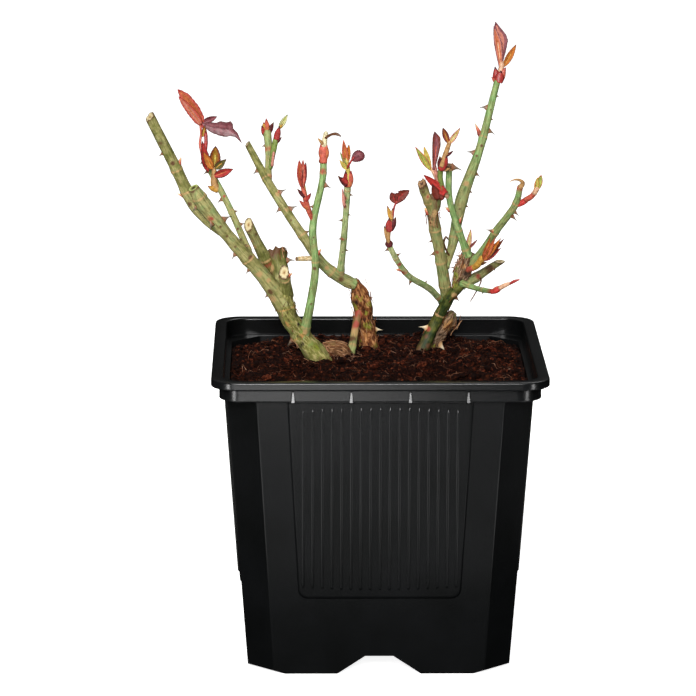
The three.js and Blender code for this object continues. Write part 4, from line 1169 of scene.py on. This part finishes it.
                  (0.85, 185, 4.2), (0.8, 0, 1.6), (0.92, 0, 1.8)],
        buds=[(0.7, 175, 10, 3.2)], scars=(0.16, 0.7), flare=0.3, tone=(0.5, 0.72), end="hidden",
        spots=dict(weather=[(0.65, 280, 2), (0.59, 255, 1.8), (0.84, 280, 1.2), (0.3, 270, 1.4)],
                   scar=[(0.43, 255, 3.4)])),
    "right_knuckle": dict(
        path=[(46.5, 22, 204.5), (49.5, 20.5, 215), (54.5, 21, 226.5)], thick=(6.5, 8.4, 9.6),
        prickles=[(0.5, 180, 3.4), (0.8, 185, 3), (0.65, 200, 3)], bark="knuckle", rough=0.22, strands=1.0,
        end="tip", straws=44,
        spots=dict(blush=[(0.12, 240, 7), (0.35, 215, 5)], scar=[(0.62, 250, 4), (0.9, 260, 4)],
                   weather=[(0.8, 300, 5), (0.5, 300, 5)])),
    "right_cut_stub": dict(
        path=[(47, 21, 206), (56.5, 25, 210), (72, 34, 218.5)], thick=(6, 5.8, 4),
        prickles=[(0.78, 300, 2.6)], scars=(0.42,), tone=(0.66, 0.3), weather=0.1, slant=(1.7, 40),
        spots=dict(weather=[(0.7, 270, 6)], blush=[(0.42, 260, 3)])),
    "right_slim_cane": dict(
        path=[(52.5, 19, 225), (47.5, 12, 239.5), (41, 3, 261.5), (40.5, -5, 282)],
        thick=(4.6, 4, 3.8, 3.6), cut="dry", prickles=[(0.98, 350, 5.5), (0.97, 170, 2), (0.3, 90, 2.4)],
        buds=[(0.36, 5, 6, 2.4), (0.52, 182, 4.5, 3)], scars=(0.08, 0.3, 0.96), flare=0.3,
        tone=(0.76, 0.84), spots=dict(weather=[(0.98, 270, 4), (0.7, 270, 1.2)])),
    "right_curved_cane": dict(
        path=[(54.5, 20, 219), (61.5, 9, 230.5), (68.5, -4, 244.5), (78, -20, 262), (80, -27, 273)],
        thick=(5, 4.6, 4.4, 4, 3.4), prickles=[(0.45, 185, 3.6), (0.7, 350, 4), (0.75, 350, 3.4)],
        buds=[(0.46, 215, 3.5, 2.8)], scars=(0.46, 0.84), flare=0.3, tone=(0.66, 0.62), end="hidden",
        blush=((1.0, 2, 0.7),), spots=dict(blush=[(0.72, 330, 2.6)], weather=[(0.6, 270, 1.2)])),
    "right_low_shoot": dict(
        path=[(49.5, 18, 208.5), (58.5, 6, 207.5), (66, -12, 209.5)], thick=(3.6, 3, 2.8), scars=(0.2, 0.6),
        flare=0.3, tone=0.68, end="hidden", blush=((1.0, 5, 0.9),), prickles=[(0.55, 0, 2)]),
}
in_all = sum(Limb(entry["path"], entry["thick"]).length for entry in limbs.values())
print(len(limbs), "limbs,", round(in_all), "mm in all")


# %% Growing the limbs
def grow_limbs():
    apart = ("path", "thick", "bark", "cut", "prickles", "buds", "straws", "straws_from")
    thorns, buds, straws = Batch(), Batch(), Batch()
    for number, (name, entry) in enumerate(limbs.items()):
        limb, bark = Limb(entry["path"], entry["thick"]), entry.get("bark")
        skin = Batch()
        looks = {look: value for look, value in entry.items() if look not in apart}
        bark_skin(skin, limb, number * 3.1, **looks)
        piece = skin.build(name, [barks[bark] if bark else green_bark, cuts[entry.get("cut", "fresh")]])
        place_piece(piece, "green_bark" if bark in (None, "rind") else "old_bark", name)
        for along, around, *more in entry.get("prickles", ()):
            prickle(thorns, limb, along, around, more[0] if more else 3.0, 1 if "pale" in more else 0)
        for spec in entry.get("buds", ()):
            bud(buds, limb, *spec)
        start, rough = entry.get("straws_from", 0.0), entry.get("rough", 0.03)
        splinters(straws, limb, entry.get("straws", 0), start, rough)
    place_piece(thorns.build("thorns", [thorn, pale_thorn]), "old_bark")
    place_piece(buds.build("buds", [bud_body, bud_foot]), "young_growth")
    place_piece(straws.build("bark_straws", [straw, barks["stump"]]), "old_bark")


grow_limbs()


# %% [markdown]
# ## Young growth
#
# The first leaves of a rose come folded along the midrib, thin, glossy and
# red, because the green has not formed yet. Each leaf here is a fine grid cut
# to a toothed outline, folded and curled, and thickened by a Solidify
# modifier. Its midrib, blade and margin have a plain colour each, dealt out
# leaf by leaf, which stays crisp in any program the plant is taken to.

# %% Finishes of the young growth
# Living leaf skin: a waxy film, IOR about 1.45, fairly glossy. It gives the eye clean
# saturated colour with a soft highlight on each fold.
def young_leaf_skin(name, colour):
    material, tree, shader = new_material(name, Roughness=0.42, IOR=1.45)
    mottle_mm = 1.8
    mottle = noise_at(tree, object_place(tree), mottle_mm, Detail=3.0)
    shade = ramp(tree, mottle, (0.3, "#a89e98"), (0.62, "#ffffff"))
    dress(tree, shader, blend(tree, 0.7, linear(colour), shade, "MULTIPLY"), mottle, 0.25, 0.15)
    return material


tints = {
    "coral": "#c8604c", "flame": "#c66c42", "crimson": "#a83530", "scarlet": "#c43e38", "plum": "#6c2c34",
    "mauve": "#86484e", "dark_red": "#5a1e20", "mahogany": "#7a3024", "bronze": "#955226",
    "brown": "#664026", "orange": "#c4742e", "amber": "#d09c44", "gold": "#a97e2a", "yellow": "#cbb85c",
    "yellow_green": "#a9b254", "moss": "#85994e", "olive": "#5c582a", "cream": "#e4dab0", "peach": "#dcae8c",
    "pink": "#d08c7c", "blush": "#c67c6a", "tan": "#b98e5a",
}
tint_order = list(tints)
tint_finishes = [young_leaf_skin("young_leaf_" + name, colour) for name, colour in tints.items()]
# What a leaf of each kind wears: (midrib, inner blade, outer blade, margin).
leaf_kinds = {
    "coral": ("flame", "flame", "coral", "crimson"), "flame": ("amber", "flame", "flame", "coral"),
    "crimson": ("flame", "crimson", "crimson", "dark_red"),
    "scarlet": ("scarlet", "scarlet", "scarlet", "crimson"), "plum": ("plum", "mauve", "plum", "dark_red"),
    "mahogany": ("crimson", "mahogany", "mahogany", "dark_red"),
    "dark_red": ("crimson", "dark_red", "dark_red", "brown"),
    "gold": ("yellow", "gold", "bronze", "dark_red"), "bronze": ("amber", "bronze", "mahogany", "dark_red"),
    "orange": ("amber", "orange", "orange", "bronze"), "amber": ("yellow", "amber", "amber", "bronze"),
    "yellow": ("yellow_green", "yellow", "yellow", "amber"),
    "green": ("yellow", "yellow_green", "yellow_green", "coral"),
    "moss": ("yellow_green", "moss", "moss", "moss"), "olive": ("amber", "olive", "olive", "dark_red"),
    "pale": ("cream", "yellow_green", "cream", "moss"), "mauve": ("blush", "blush", "mauve", "plum"),
    "blush": ("peach", "flame", "blush", "mauve"), "mauve_brown": ("coral", "mauve", "mahogany", "dark_red"),
    "sunrise": ("cream", "yellow", "peach", "crimson"), "pink": ("cream", "pink", "pink", "coral"),
    "tan": ("cream", "tan", "tan", "brown"), "brown": ("tan", "brown", "brown", "brown"),
    "salmon": ("flame", "blush", "coral", "crimson"),
}
print(len(tints), "tints,", len(leaf_kinds), "kinds of leaf")


# %% Leaves and scales
def leaf_edge(width, blunt):
    """Half widths (share, left, right) of a plain leaf; blunt 0 is a lance and 1 a round leaf."""
    edge = []
    for share in np.linspace(0, 1, 13):
        lance = math.sin(math.pi * min(share, 0.999) ** (0.75 + 0.5 * blunt)) ** (1.0 - 0.55 * blunt)
        edge.append((share,) + (max(0.04, width / 2 * lance),) * 2)
    return edge


def blade_axes(base, tip, face=(0, -1, 0)):
    """Where a blade starts, its length, and its directions: along, across and outward."""
    along = np.array(tip, float) - base
    length = np.linalg.norm(along)
    along = along / length
    across = np.cross(along, face)
    across = across / np.linalg.norm(across)
    return np.array(base, float), length, along, across, np.cross(across, along)


def add_blade(batch, points, wide, kind, part_at):
    """Joins a grid of points; part_at says which part of the blade each cell belongs to."""
    worn = dict(zip(("rib", "inner", "blade", "margin"), leaf_kinds[kind]))
    cells = [(row, column) for row in range(len(points) // wide - 1) for column in range(wide - 1)]
    faces = [(a, a + 1, a + 1 + wide, a + wide) for a in (row * wide + column for row, column in cells)]
    batch.add(points, faces, [tint_order.index(worn[part_at(*cell)]) for cell in cells])


def leaf(batch, base, tip, kind, width=4.0, fold=0.5, curl=0.12, teeth=0.06, blunt=0.0, edge=None, seed=0.0):
    """One leaflet: a grid cut to a toothed outline, folded along its midrib and curled."""
    root, length, along, across, outward = blade_axes(base, tip)
    outline_at = np.array(edge or leaf_edge(width, blunt))
    rows, half_columns, wave = 26, 6, 0.4
    points = []
    for row in range(rows + 1):
        share = row / rows
        left, right = (np.interp(share, outline_at[:, 0], outline_at[:, side]) for side in (1, 2))
        middle, spread = (right - left) / 2, (left + right) / 2
        saw = teeth * (1 - 2 * ((share * 9) % 1.0))
        for column in range(-half_columns, half_columns + 1):
            x = column / half_columns
            size = spread * (1 + saw * (abs(column) == half_columns))
            vein = 0.14 * max(0.0, math.cos(2 * math.pi * (share * 7 - abs(x) * 1.2))) * min(1, abs(x) * 4)
            lift = fold * abs(x) * spread + curl * length * share * (share - 1) + vein * min(1.0, spread / 3)
            lift += wave * abs(x) * math.sin(share * 11 + seed + 2 * np.sign(x)) * 0.35 * min(1.0, spread / 2)
            points.append(root + along * share * length + across * (middle + x * size) + outward * lift)

    def part_at(row, column):
        side = abs(column - half_columns + 0.5)
        if side > half_columns - 1 or row >= rows - 2:
            return "margin"
        if side < 1 and row < rows * 0.6:
            return "rib"
        return "inner" if side / half_columns + 0.25 * row / rows < 0.6 else "blade"

    add_blade(batch, points, 2 * half_columns + 1, kind, part_at)


def scale_leaf(batch, root, tip, width, kind="crimson"):
    """A bud scale: a short pointed shell, arched across, that clasps the foot of a shoot."""
    root, length, along, across, outward = blade_axes(root, tip)
    rows, columns = 12, 10
    points = []
    for share in np.linspace(0, 1, rows + 1):
        half = width / 2 * max(0.06, (1 - share ** 2.4) * (0.85 + 0.3 * math.sin(math.pi * share)))
        for angle in np.radians(75) * np.linspace(-1, 1, columns + 1):
            arch = width / 2 * (math.cos(angle) - 0.2) * (1 - 0.75 * share) + 0.12 * length * share * share
            points.append(root + along * share * length + across * half * math.sin(angle) + outward * arch)

    def part_at(row, column):
        return "margin" if column in (0, columns - 1) or row > rows - 3 else "inner" if row < 4 else "blade"

    add_blade(batch, points, columns + 1, kind, part_at)


# %% [markdown]
# ## The shoots
#
# Every shoot has a stem, scales or sheaths at its foot, and its leaves. They
# are placed one by one, because a rose in early spring has so few leaves that
# each one is a feature of its outline. A stem is given as (line, thickness at
# each point, tint), a scale as (root, tip, width, kind) and a leaf as (root, tip,
# kind, shape). The edge of an odd leaf lists (share of the length, half width on
# the left, half width on the right).

# %% The shoots of the bush
shoots = {
    "left_leaf_shoot": dict(
        stems=[([(-92, 30, 261), (-94.5, 29, 265.5), (-94.5, 28, 272), (-94.5, 28, 276)],
                (4.4, 4.2, 3, 2.4), "tan")],
        scales=[((-93, 29, 261.5), (-98.5, 27, 264.5), 3.2, "amber")],
        leaves=[((-98, 30, 272), (-101.5, 29, 290.5), "crimson", dict(width=5.2, fold=0.8)),
                ((-94.3, 28, 274), (-93.6, 23, 288.4), "gold", dict(width=6.4, blunt=0.5)),
                ((-95.4, 27, 274), (-100.6, 23, 285), "orange", dict(width=4.6)),
                ((-94, 27, 274.5), (-87.4, 24, 280.6), "olive", dict(width=4.4, teeth=0.16)),
                ((-95, 27, 270), (-83.4, 23, 275), "crimson", dict(width=5, blunt=0.2))]),
    "left_tip_leaves": dict(
        stems=[([(-101, 43, 278.5), (-103, 45, 286), (-102.4, 46, 292), (-103, 46, 299)],
                (2.4, 1.6, 1.4, 1.4), "coral"),
               ([(-100.5, 43.5, 278.5), (-99.5, 45, 288), (-100, 46, 293), (-102, 46, 299)],
                (2.6, 2.2, 2.2, 1.8), "crimson")],
        leaves=[((-102.6, 46, 297.5), (-115.7, 40, 319), "coral",
                 dict(fold=0.5, curl=0.06,
                      edge=[(0, 0.8, 2.2), (0.13, 1.6, 4.2), (0.41, 2.0, 5.1), (0.77, 1.8, 4.1),
                            (0.93, 0.8, 1.8), (1, 0.1, 0.1)])),
                ((-102.8, 45, 297.5), (-115.2, 38.5, 315), "salmon",
                 dict(fold=0.4, curl=0.05,
                      edge=[(0, 0.8, 1.2), (0.15, 1.8, 2.8), (0.45, 2.0, 3.0), (0.8, 1.4, 1.8),
                            (1, 0.1, 0.1)])),
                ((-102, 46, 298.5), (-78.6, 40, 287.4), "plum",
                 dict(fold=0.25, curl=-0.1, teeth=0.03,
                      edge=[(0, 0.8, 0.8), (0.12, 2.0, 1.8), (0.3, 4.0, 2.4), (0.38, 6.2, 2.2),
                            (0.5, 7.0, 1.8), (0.58, 8.8, 1.2), (0.65, 8.0, 0.6), (0.69, 5.6, -0.6),
                            (0.82, 4.4, -1.6), (1, 0.1, 0.1)])),
                ((-102, 45.5, 298.5), (-93, 44, 302.4), "plum", dict(width=3.6, blunt=0.4)),
                ((-101.5, 46, 290), (-100, 44, 297.5), "gold", dict(width=2.6))]),
    "slim_cane_tip": dict(
        stems=[([(-31.7, -13, 284.5), (-31.5, -13, 290), (-31.4, -13, 295)], (4.4, 4.6, 4.4), "coral"),
               ([(-31.5, -13, 294), (-31, -13, 297), (-30, -14, 302.8)], (4.2, 3.4, 2.4), "cream"),
               ([(-30.5, -14, 299), (-27, -17, 301.5), (-24, -19, 302), (-21.5, -20, 300.8)],
                (1.6, 1.6, 1.8, 1), "brown"),
               ([(-31.5, -13.5, 295), (-33, -15, 297), (-34.8, -16, 299.2)], (2.2, 1.8, 0.8), "tan")],
        scales=[((-31.8, -13, 284.5), (-31.8, -13, 288), 4.8, "brown"),
                ((-31.5, -13, 287), (-33.2, -13.5, 295.5), 4.4, "coral"),
                ((-31.2, -13, 287), (-29.5, -13.5, 295), 4.4, "flame")]),
    "red_shoot": dict(
        stems=[([(-37.5, -8.5, 250), (-40, -12, 257), (-42, -15, 265), (-43.8, -18, 274)],
                (2.2, 3.2, 3, 2.2), "coral"),
               ([(-42, -15, 266), (-43.5, -18, 275)], (2.6, 2.2), "yellow")],
        scales=[((-40.5, -13, 258), (-45.6, -17, 264), 2.6, "coral"),
                ((-41.5, -15, 263), (-38.4, -18, 268.4), 2.2, "crimson"),
                ((-42.5, -16, 265.5), (-46.6, -18, 270.6), 2.2, "dark_red")],
        leaves=[((-43.6, -17.5, 270), (-45.4, -19, 287), "coral", dict(width=4.2, fold=0.9, blunt=0.4)),
                ((-43.4, -18, 270.5), (-43.2, -21, 287.6), "salmon", dict(width=3.2, fold=0.9, blunt=0.3)),
                ((-43.2, -18, 270.5), (-41.6, -20, 286), "crimson", dict(width=2.8, fold=0.9, blunt=0.3))]),
    "middle_fork_tip": dict(
        stems=[([(-64, 52, 291), (-64.3, 52, 295), (-64, 52, 298)], (4.8, 4.4, 2.4), "yellow_green")],
        scales=[((-64.5, 52, 290), (-67.2, 50, 296.5), 3.6, "crimson"),
                ((-63.5, 52, 291), (-60, 50, 298.5), 3.2, "dark_red"),
                ((-64, 51, 293), (-64.4, 49.5, 300.8), 3, "coral"),
                ((-65.5, 51, 293), (-66, 49.5, 298.5), 2.4, "amber")]),
    "middle_fork_shoot": dict(
        stems=[([(-62, 44, 272), (-60.8, 40, 280), (-59.2, 38.5, 288), (-57.4, 39, 296)],
                (2.6, 3.2, 3.6, 2.4), "moss"),
               ([(-61, 39, 274), (-60, 37.5, 283)], (1.8, 1.4), "pink")],
        scales=[((-58.6, 38, 290), (-56.6, 37.5, 298), 3.6, "crimson"),
                ((-58.5, 38, 288), (-55.4, 37.5, 291.5), 1.8, "dark_red"),
                ((-57, 38.5, 296), (-54.8, 37.5, 299), 1.4, "amber")],
        leaves=[((-57.2, 39, 295.5), (-52, 37.5, 304.6), "pale", dict(width=3.2, blunt=0.3))]),
    "middle_leaf_tuft": dict(
        stems=[([(-17.5, -6, 271), (-17.5, -8, 279), (-18.5, -11, 287)], (4, 2.8, 2.2), "yellow"),
               ([(-18, -10, 281), (-16, -12, 285), (-14, -13, 288)], (1.4, 1.2, 1.2), "crimson")],
        scales=[((-17.5, -6, 270), (-19, -8, 279.5), 4.6, "crimson"),
                ((-17.3, -6, 270), (-15.6, -8, 279.5), 4.6, "coral"),
                ((-18.5, -7, 270.5), (-23.4, -10, 277), 2.8, "dark_red"),
                ((-18, -7.5, 272), (-21.6, -10, 276), 3, "crimson"),
                ((-19.5, -4, 258), (-20.6, -6, 269), 1.8, "pink")],
        leaves=[((-18.5, -10, 283), (-20.2, -14, 297.8), "flame", dict(width=3.4, fold=0.8, blunt=0.2)),
                ((-18.2, -10, 283), (-17, -12, 295), "orange", dict(width=3, fold=0.8, blunt=0.3)),
                ((-18, -10, 281), (-22.2, -13, 291), "moss", dict(width=1.8)),
                ((-18, -10, 280), (-22.4, -12, 286), "yellow", dict(width=2.6)),
                ((-15.6, -12, 285.5), (-8.6, -15, 290.5), "plum",
                 dict(width=6.8, curl=0.3, fold=-0.2, blunt=0.9))]),
    "right_bow_shoot": dict(
        stems=[([(6, -24, 238.5), (5.2, -26, 243), (5.8, -28, 249), (7.2, -30, 256)], (3.2, 2.6, 2.4, 1.8),
                "tan"),
               ([(7.4, -30, 255), (8, -32, 260), (8.6, -33, 263), (10, -33.5, 266)], (1.4, 1.2, 1.1, 1.1),
                "crimson")],
        scales=[((6, -24, 238.5), (5.2, -26, 243), 4.4, "dark_red"),
                ((5, -26, 242), (2.8, -27, 251), 2, "tan"),
                ((6, -28, 248), (5.6, -30, 256), 4.6, "crimson"),
                ((6.4, -28, 248.5), (9.6, -30, 256.5), 3.8, "dark_red"),
                ((6.8, -30, 255), (4.4, -32, 263.5), 2.4, "amber"),
                ((7, -30, 255), (7.6, -32, 262), 2.2, "tan")],
        leaves=[((9.6, -33, 264.5), (16.8, -38, 273), "mahogany",
                 dict(fold=0.3, teeth=0.1,
                      edge=[(0, 0.8, 0.5), (0.2, 3.0, 1.2), (0.4, 4.8, 1.6), (0.5, 3.6, 1.7),
                            (0.62, 4.2, 1.6), (0.85, 2.4, 1.2), (1, 0.1, 0.1)])),
                ((9.4, -33, 264.5), (6.6, -36, 271.4), "mahogany", dict(width=4.6, fold=0.2, blunt=0.6))]),
    "right_tall_leaves": dict(
        stems=[([(71.5, 72, 319), (73.2, 74, 324), (74.4, 75, 331)], (4, 3.6, 2.6), "peach")],
        scales=[((71.6, 72.5, 318), (70, 74, 327.5), 4.6, "crimson"),
                ((72, 72.5, 318.5), (76.2, 74, 327), 4.6, "coral"),
                ((72, 71.5, 318.5), (73.4, 72, 325.5), 5.4, "crimson"),
                ((71, 72, 318), (67.8, 71, 322), 2, "coral")],
        leaves=[((73.4, 75, 325), (70.2, 78, 353.5), "mauve",
                 dict(fold=0.35, curl=0.05, teeth=0.03,
                      edge=[(0, 0.6, 0.8), (0.2, 1.2, 2.2), (0.4, 1.8, 4.4), (0.6, 2.2, 6.2),
                            (0.72, 2.0, 5.4), (0.88, 1.2, 2.4), (1, 0.1, 0.1)])),
                ((73.2, 74, 326), (69.2, 76.5, 351.2), "blush",
                 dict(fold=0.5, curl=0.06,
                      edge=[(0, 0.5, 0.8), (0.3, 1.2, 2.6), (0.6, 1.5, 3.2), (0.85, 0.9, 1.6),
                            (1, 0.1, 0.1)])),
                ((75, 75, 327), (82.3, 73, 340.8), "orange", dict(width=4, fold=0.6, blunt=0.2))]),
    "right_leaf_shoot": dict(
        stems=[([(40.5, 3, 262), (37.5, -1, 266), (34, -5, 273), (30, -8, 281)], (3.4, 3.4, 2.6, 2),
                "peach"),
               ([(35, -4, 270), (33, -7, 277), (31.5, -9, 284)], (3, 2.6, 2), "pink"),
               ([(37, -2, 267), (35.2, -8, 276), (36, -12, 283)], (3.2, 3.2, 3.4), "moss"),
               ([(36, -12, 282.5), (38, -15, 290), (40.5, -17, 298)], (3.8, 3, 2.4), "tan")],
        scales=[((37, -2, 262), (30, -6, 269.5), 3.6, "mahogany"),
                ((34, -3, 262.5), (30.6, -7, 272), 4.4, "mahogany"),
                ((35.6, -11, 280.5), (39, -15, 290), 5, "crimson"),
                ((36, -11, 281), (34.6, -14, 289), 4.2, "dark_red"),
                ((37.5, -10, 279.5), (41.4, -12, 281.8), 1.6, "tan"),
                ((39, -15, 289), (42.4, -17, 292.4), 1.4, "dark_red")],
        leaves=[((38.4, -3, 265), (25.6, -12, 277.4), "scarlet",
                 dict(fold=0.5, curl=0.25,
                      edge=[(0, 1.4, 1.8), (0.2, 2.4, 2.6), (0.5, 2.0, 2.4), (0.8, 1.2, 1.4),
                            (1, 0.1, 0.1)])),
                ((30, -8, 279), (20.8, -12, 293.6), "green", dict(width=3.6, fold=0.7, blunt=0.2)),
                ((30, -8, 279), (25.8, -10, 293.4), "yellow", dict(width=3, fold=0.6, blunt=0.5)),
                ((31.4, -9, 280), (31.8, -13, 302.6), "mauve_brown",
                 dict(fold=0.4, curl=0.06, teeth=0.02,
                      edge=[(0, 0.6, 0.8), (0.35, 1.0, 2.4), (0.65, 1.2, 3.6), (0.86, 1.1, 3.3),
                            (0.93, 0.8, 1.6), (1, 0.1, 0.1)])),
                ((39.6, -16, 296), (36.2, -19, 305.6), "bronze", dict(width=3.6, blunt=0.5)),
                ((39.6, -16, 295.5), (46, -21, 306), "sunrise", dict(width=3, blunt=0.1))]),
    "right_sprig": dict(
        stems=[([(53.5, 22.5, 225), (53.6, 23, 229.5)], (2.4, 2), "tan"),
               ([(42, 22, 224), (39.6, 18, 229), (38.4, 16, 233.5), (39.8, 16, 236.4), (41, 17, 234.4)],
                (1, 1.2, 1.4, 1.3, 1), "brown")],
        leaves=[((52.6, 23, 227), (54.6, 26, 239.4), "sunrise", dict(width=3)),
                ((53.2, 23, 228), (58.4, 23, 233.6), "mahogany", dict(width=1.6))]),
    "right_hook_tip": dict(
        stems=[([(80, -27, 272.5), (81.4, -28.5, 275.4), (79.6, -30, 277.4), (76.5, -31, 277.8),
                 (73.6, -31, 276.6)],
                (3, 2.6, 1.6, 1, 0.5), "tan")]),
    "right_curved_shoot": dict(
        stems=[([(78.6, -20, 261), (82, -22, 263.4), (84.5, -24, 266)], (2.6, 3.6, 3), "scarlet"),
               ([(83.5, -23.5, 265), (86.5, -27, 267.5), (88.5, -29, 270.5)], (3.2, 3.2, 3), "coral"),
               ([(88, -28.5, 269.5), (90, -31, 274)], (3.2, 2.8), "peach")],
        scales=[((82, -22, 263), (86.4, -24.5, 268), 3.2, "coral")],
        leaves=[((89, -30, 271), (91.5, -34, 281), "green", dict(width=4, blunt=0.5)),
                ((88.6, -30, 271), (89.4, -34, 279.5), "yellow", dict(width=2.6, blunt=0.4))]),
    "right_orange_leaves": dict(
        stems=[([(53.5, 17, 217), (57.5, 8, 221), (60, 4, 225.5), (61.4, 2, 228)], (3.4, 3.8, 4, 2.6),
                "amber"),
               ([(52.5, 18, 216.5), (56, 10, 219.4)], (3.2, 3.4), "coral")],
        scales=[((58, 7, 222), (63.4, 1, 224.6), 2.2, "brown")],
        leaves=[((60.6, 2, 225.5), (64.4, -3, 239.4), "orange", dict(width=3, fold=0.9)),
                ((60.8, 2, 225.5), (67.4, -5, 239.8), "flame", dict(width=3.2, fold=0.9)),
                ((61, 2, 225), (70.6, -4, 239.2), "orange", dict(width=3.2, fold=0.8, teeth=0.12)),
                ((61.4, 2, 225), (72.6, 0, 238.2), "bronze", dict(width=3.2, fold=0.6, teeth=0.16)),
                ((61.4, 2.5, 224.6), (71, 1, 232.6), "crimson", dict(width=3, fold=0.5, teeth=0.14))]),
    "right_low_tip": dict(
        stems=[([(59, 12, 213.5), (60.2, 14, 211), (58, 12.5, 206), (53.7, 10, 199.1)],
                (1.0, 0.9, 0.8, 0.7), "brown"),
               ([(65, -11, 209.2), (68, -13, 210.6), (70, -15, 212.4)], (3, 3.6, 2.4), "scarlet"),
               ([(69.5, -14.5, 212), (73, -16, 214.2), (76, -17.5, 215.6)], (2.8, 2.6, 1.6), "peach"),
               ([(75.4, -17.2, 215.2), (78, -19, 217), (80.8, -20, 218.2)], (1.6, 1.8, 0.6), "crimson")],
        scales=[((66, -12, 209.6), (70.5, -14.6, 214), 2.8, "coral")]),
}
print(len(shoots), "shoots,", sum(len(e.get("leaves", ())) for e in shoots.values()), "leaves")


# %% Growing the shoots
def young_stem(batch, path, thick, tint, seed):
    """A tender stem, round-tipped, in one plain tint."""
    limb = Limb(path, thick)
    angles = np.arange(14) * 2 * math.pi / 14
    rings = []
    for along in np.linspace(0, 1, max(5, round(limb.length / 0.9)) + 1):
        centre, radius, right, behind, _ = limb.at(along)
        size = radius * (1 + 0.08 * bumps([(0, 0, along * limb.length)], 2.2, seed)[0])
        size *= 1 if along < 0.9 else 1 - 0.6 * (along - 0.9) / 0.1
        spread = np.outer(np.cos(angles) * size, right) + np.outer(np.sin(angles) * size, behind)
        rings.append(centre + spread)
    batch.add(*loft(rings), tint_order.index(tint))


def grow_shoots():
    for number, (name, entry) in enumerate(shoots.items()):
        stems, blades = Batch(), Batch()
        for spec in entry.get("stems", ()):
            young_stem(stems, *spec, seed=number)
        for spec in entry.get("scales", ()):
            scale_leaf(blades, *spec)
        for order, (base, tip, kind, shape) in enumerate(entry.get("leaves", ())):
            leaf(blades, base, tip, kind, seed=number + order * 1.3, **shape)
        place_piece(stems.build(name + "_stem", tint_finishes), "young_growth", name)
        if blades.count:
            piece = blades.build(name + "_blades", tint_finishes)
            step = piece.modifiers.new("thickness", "SOLIDIFY")
            step.thickness, step.offset = 0.3 * MM, 0
            place_piece(piece, "young_growth")


grow_shoots()


# %% [markdown]
# ## Sizes
#
# The dressed plant keeps within the plain solids. Its size along each axis is printed
# in millimetres.

# %% The sizes of the dressed plant
dressed_bounds = [list(corner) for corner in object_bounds()]
for axis, low, high in zip("xyz", *dressed_bounds):
    print(axis, "from", round(low / MM, 1), "to", round(high / MM, 1), "mm")
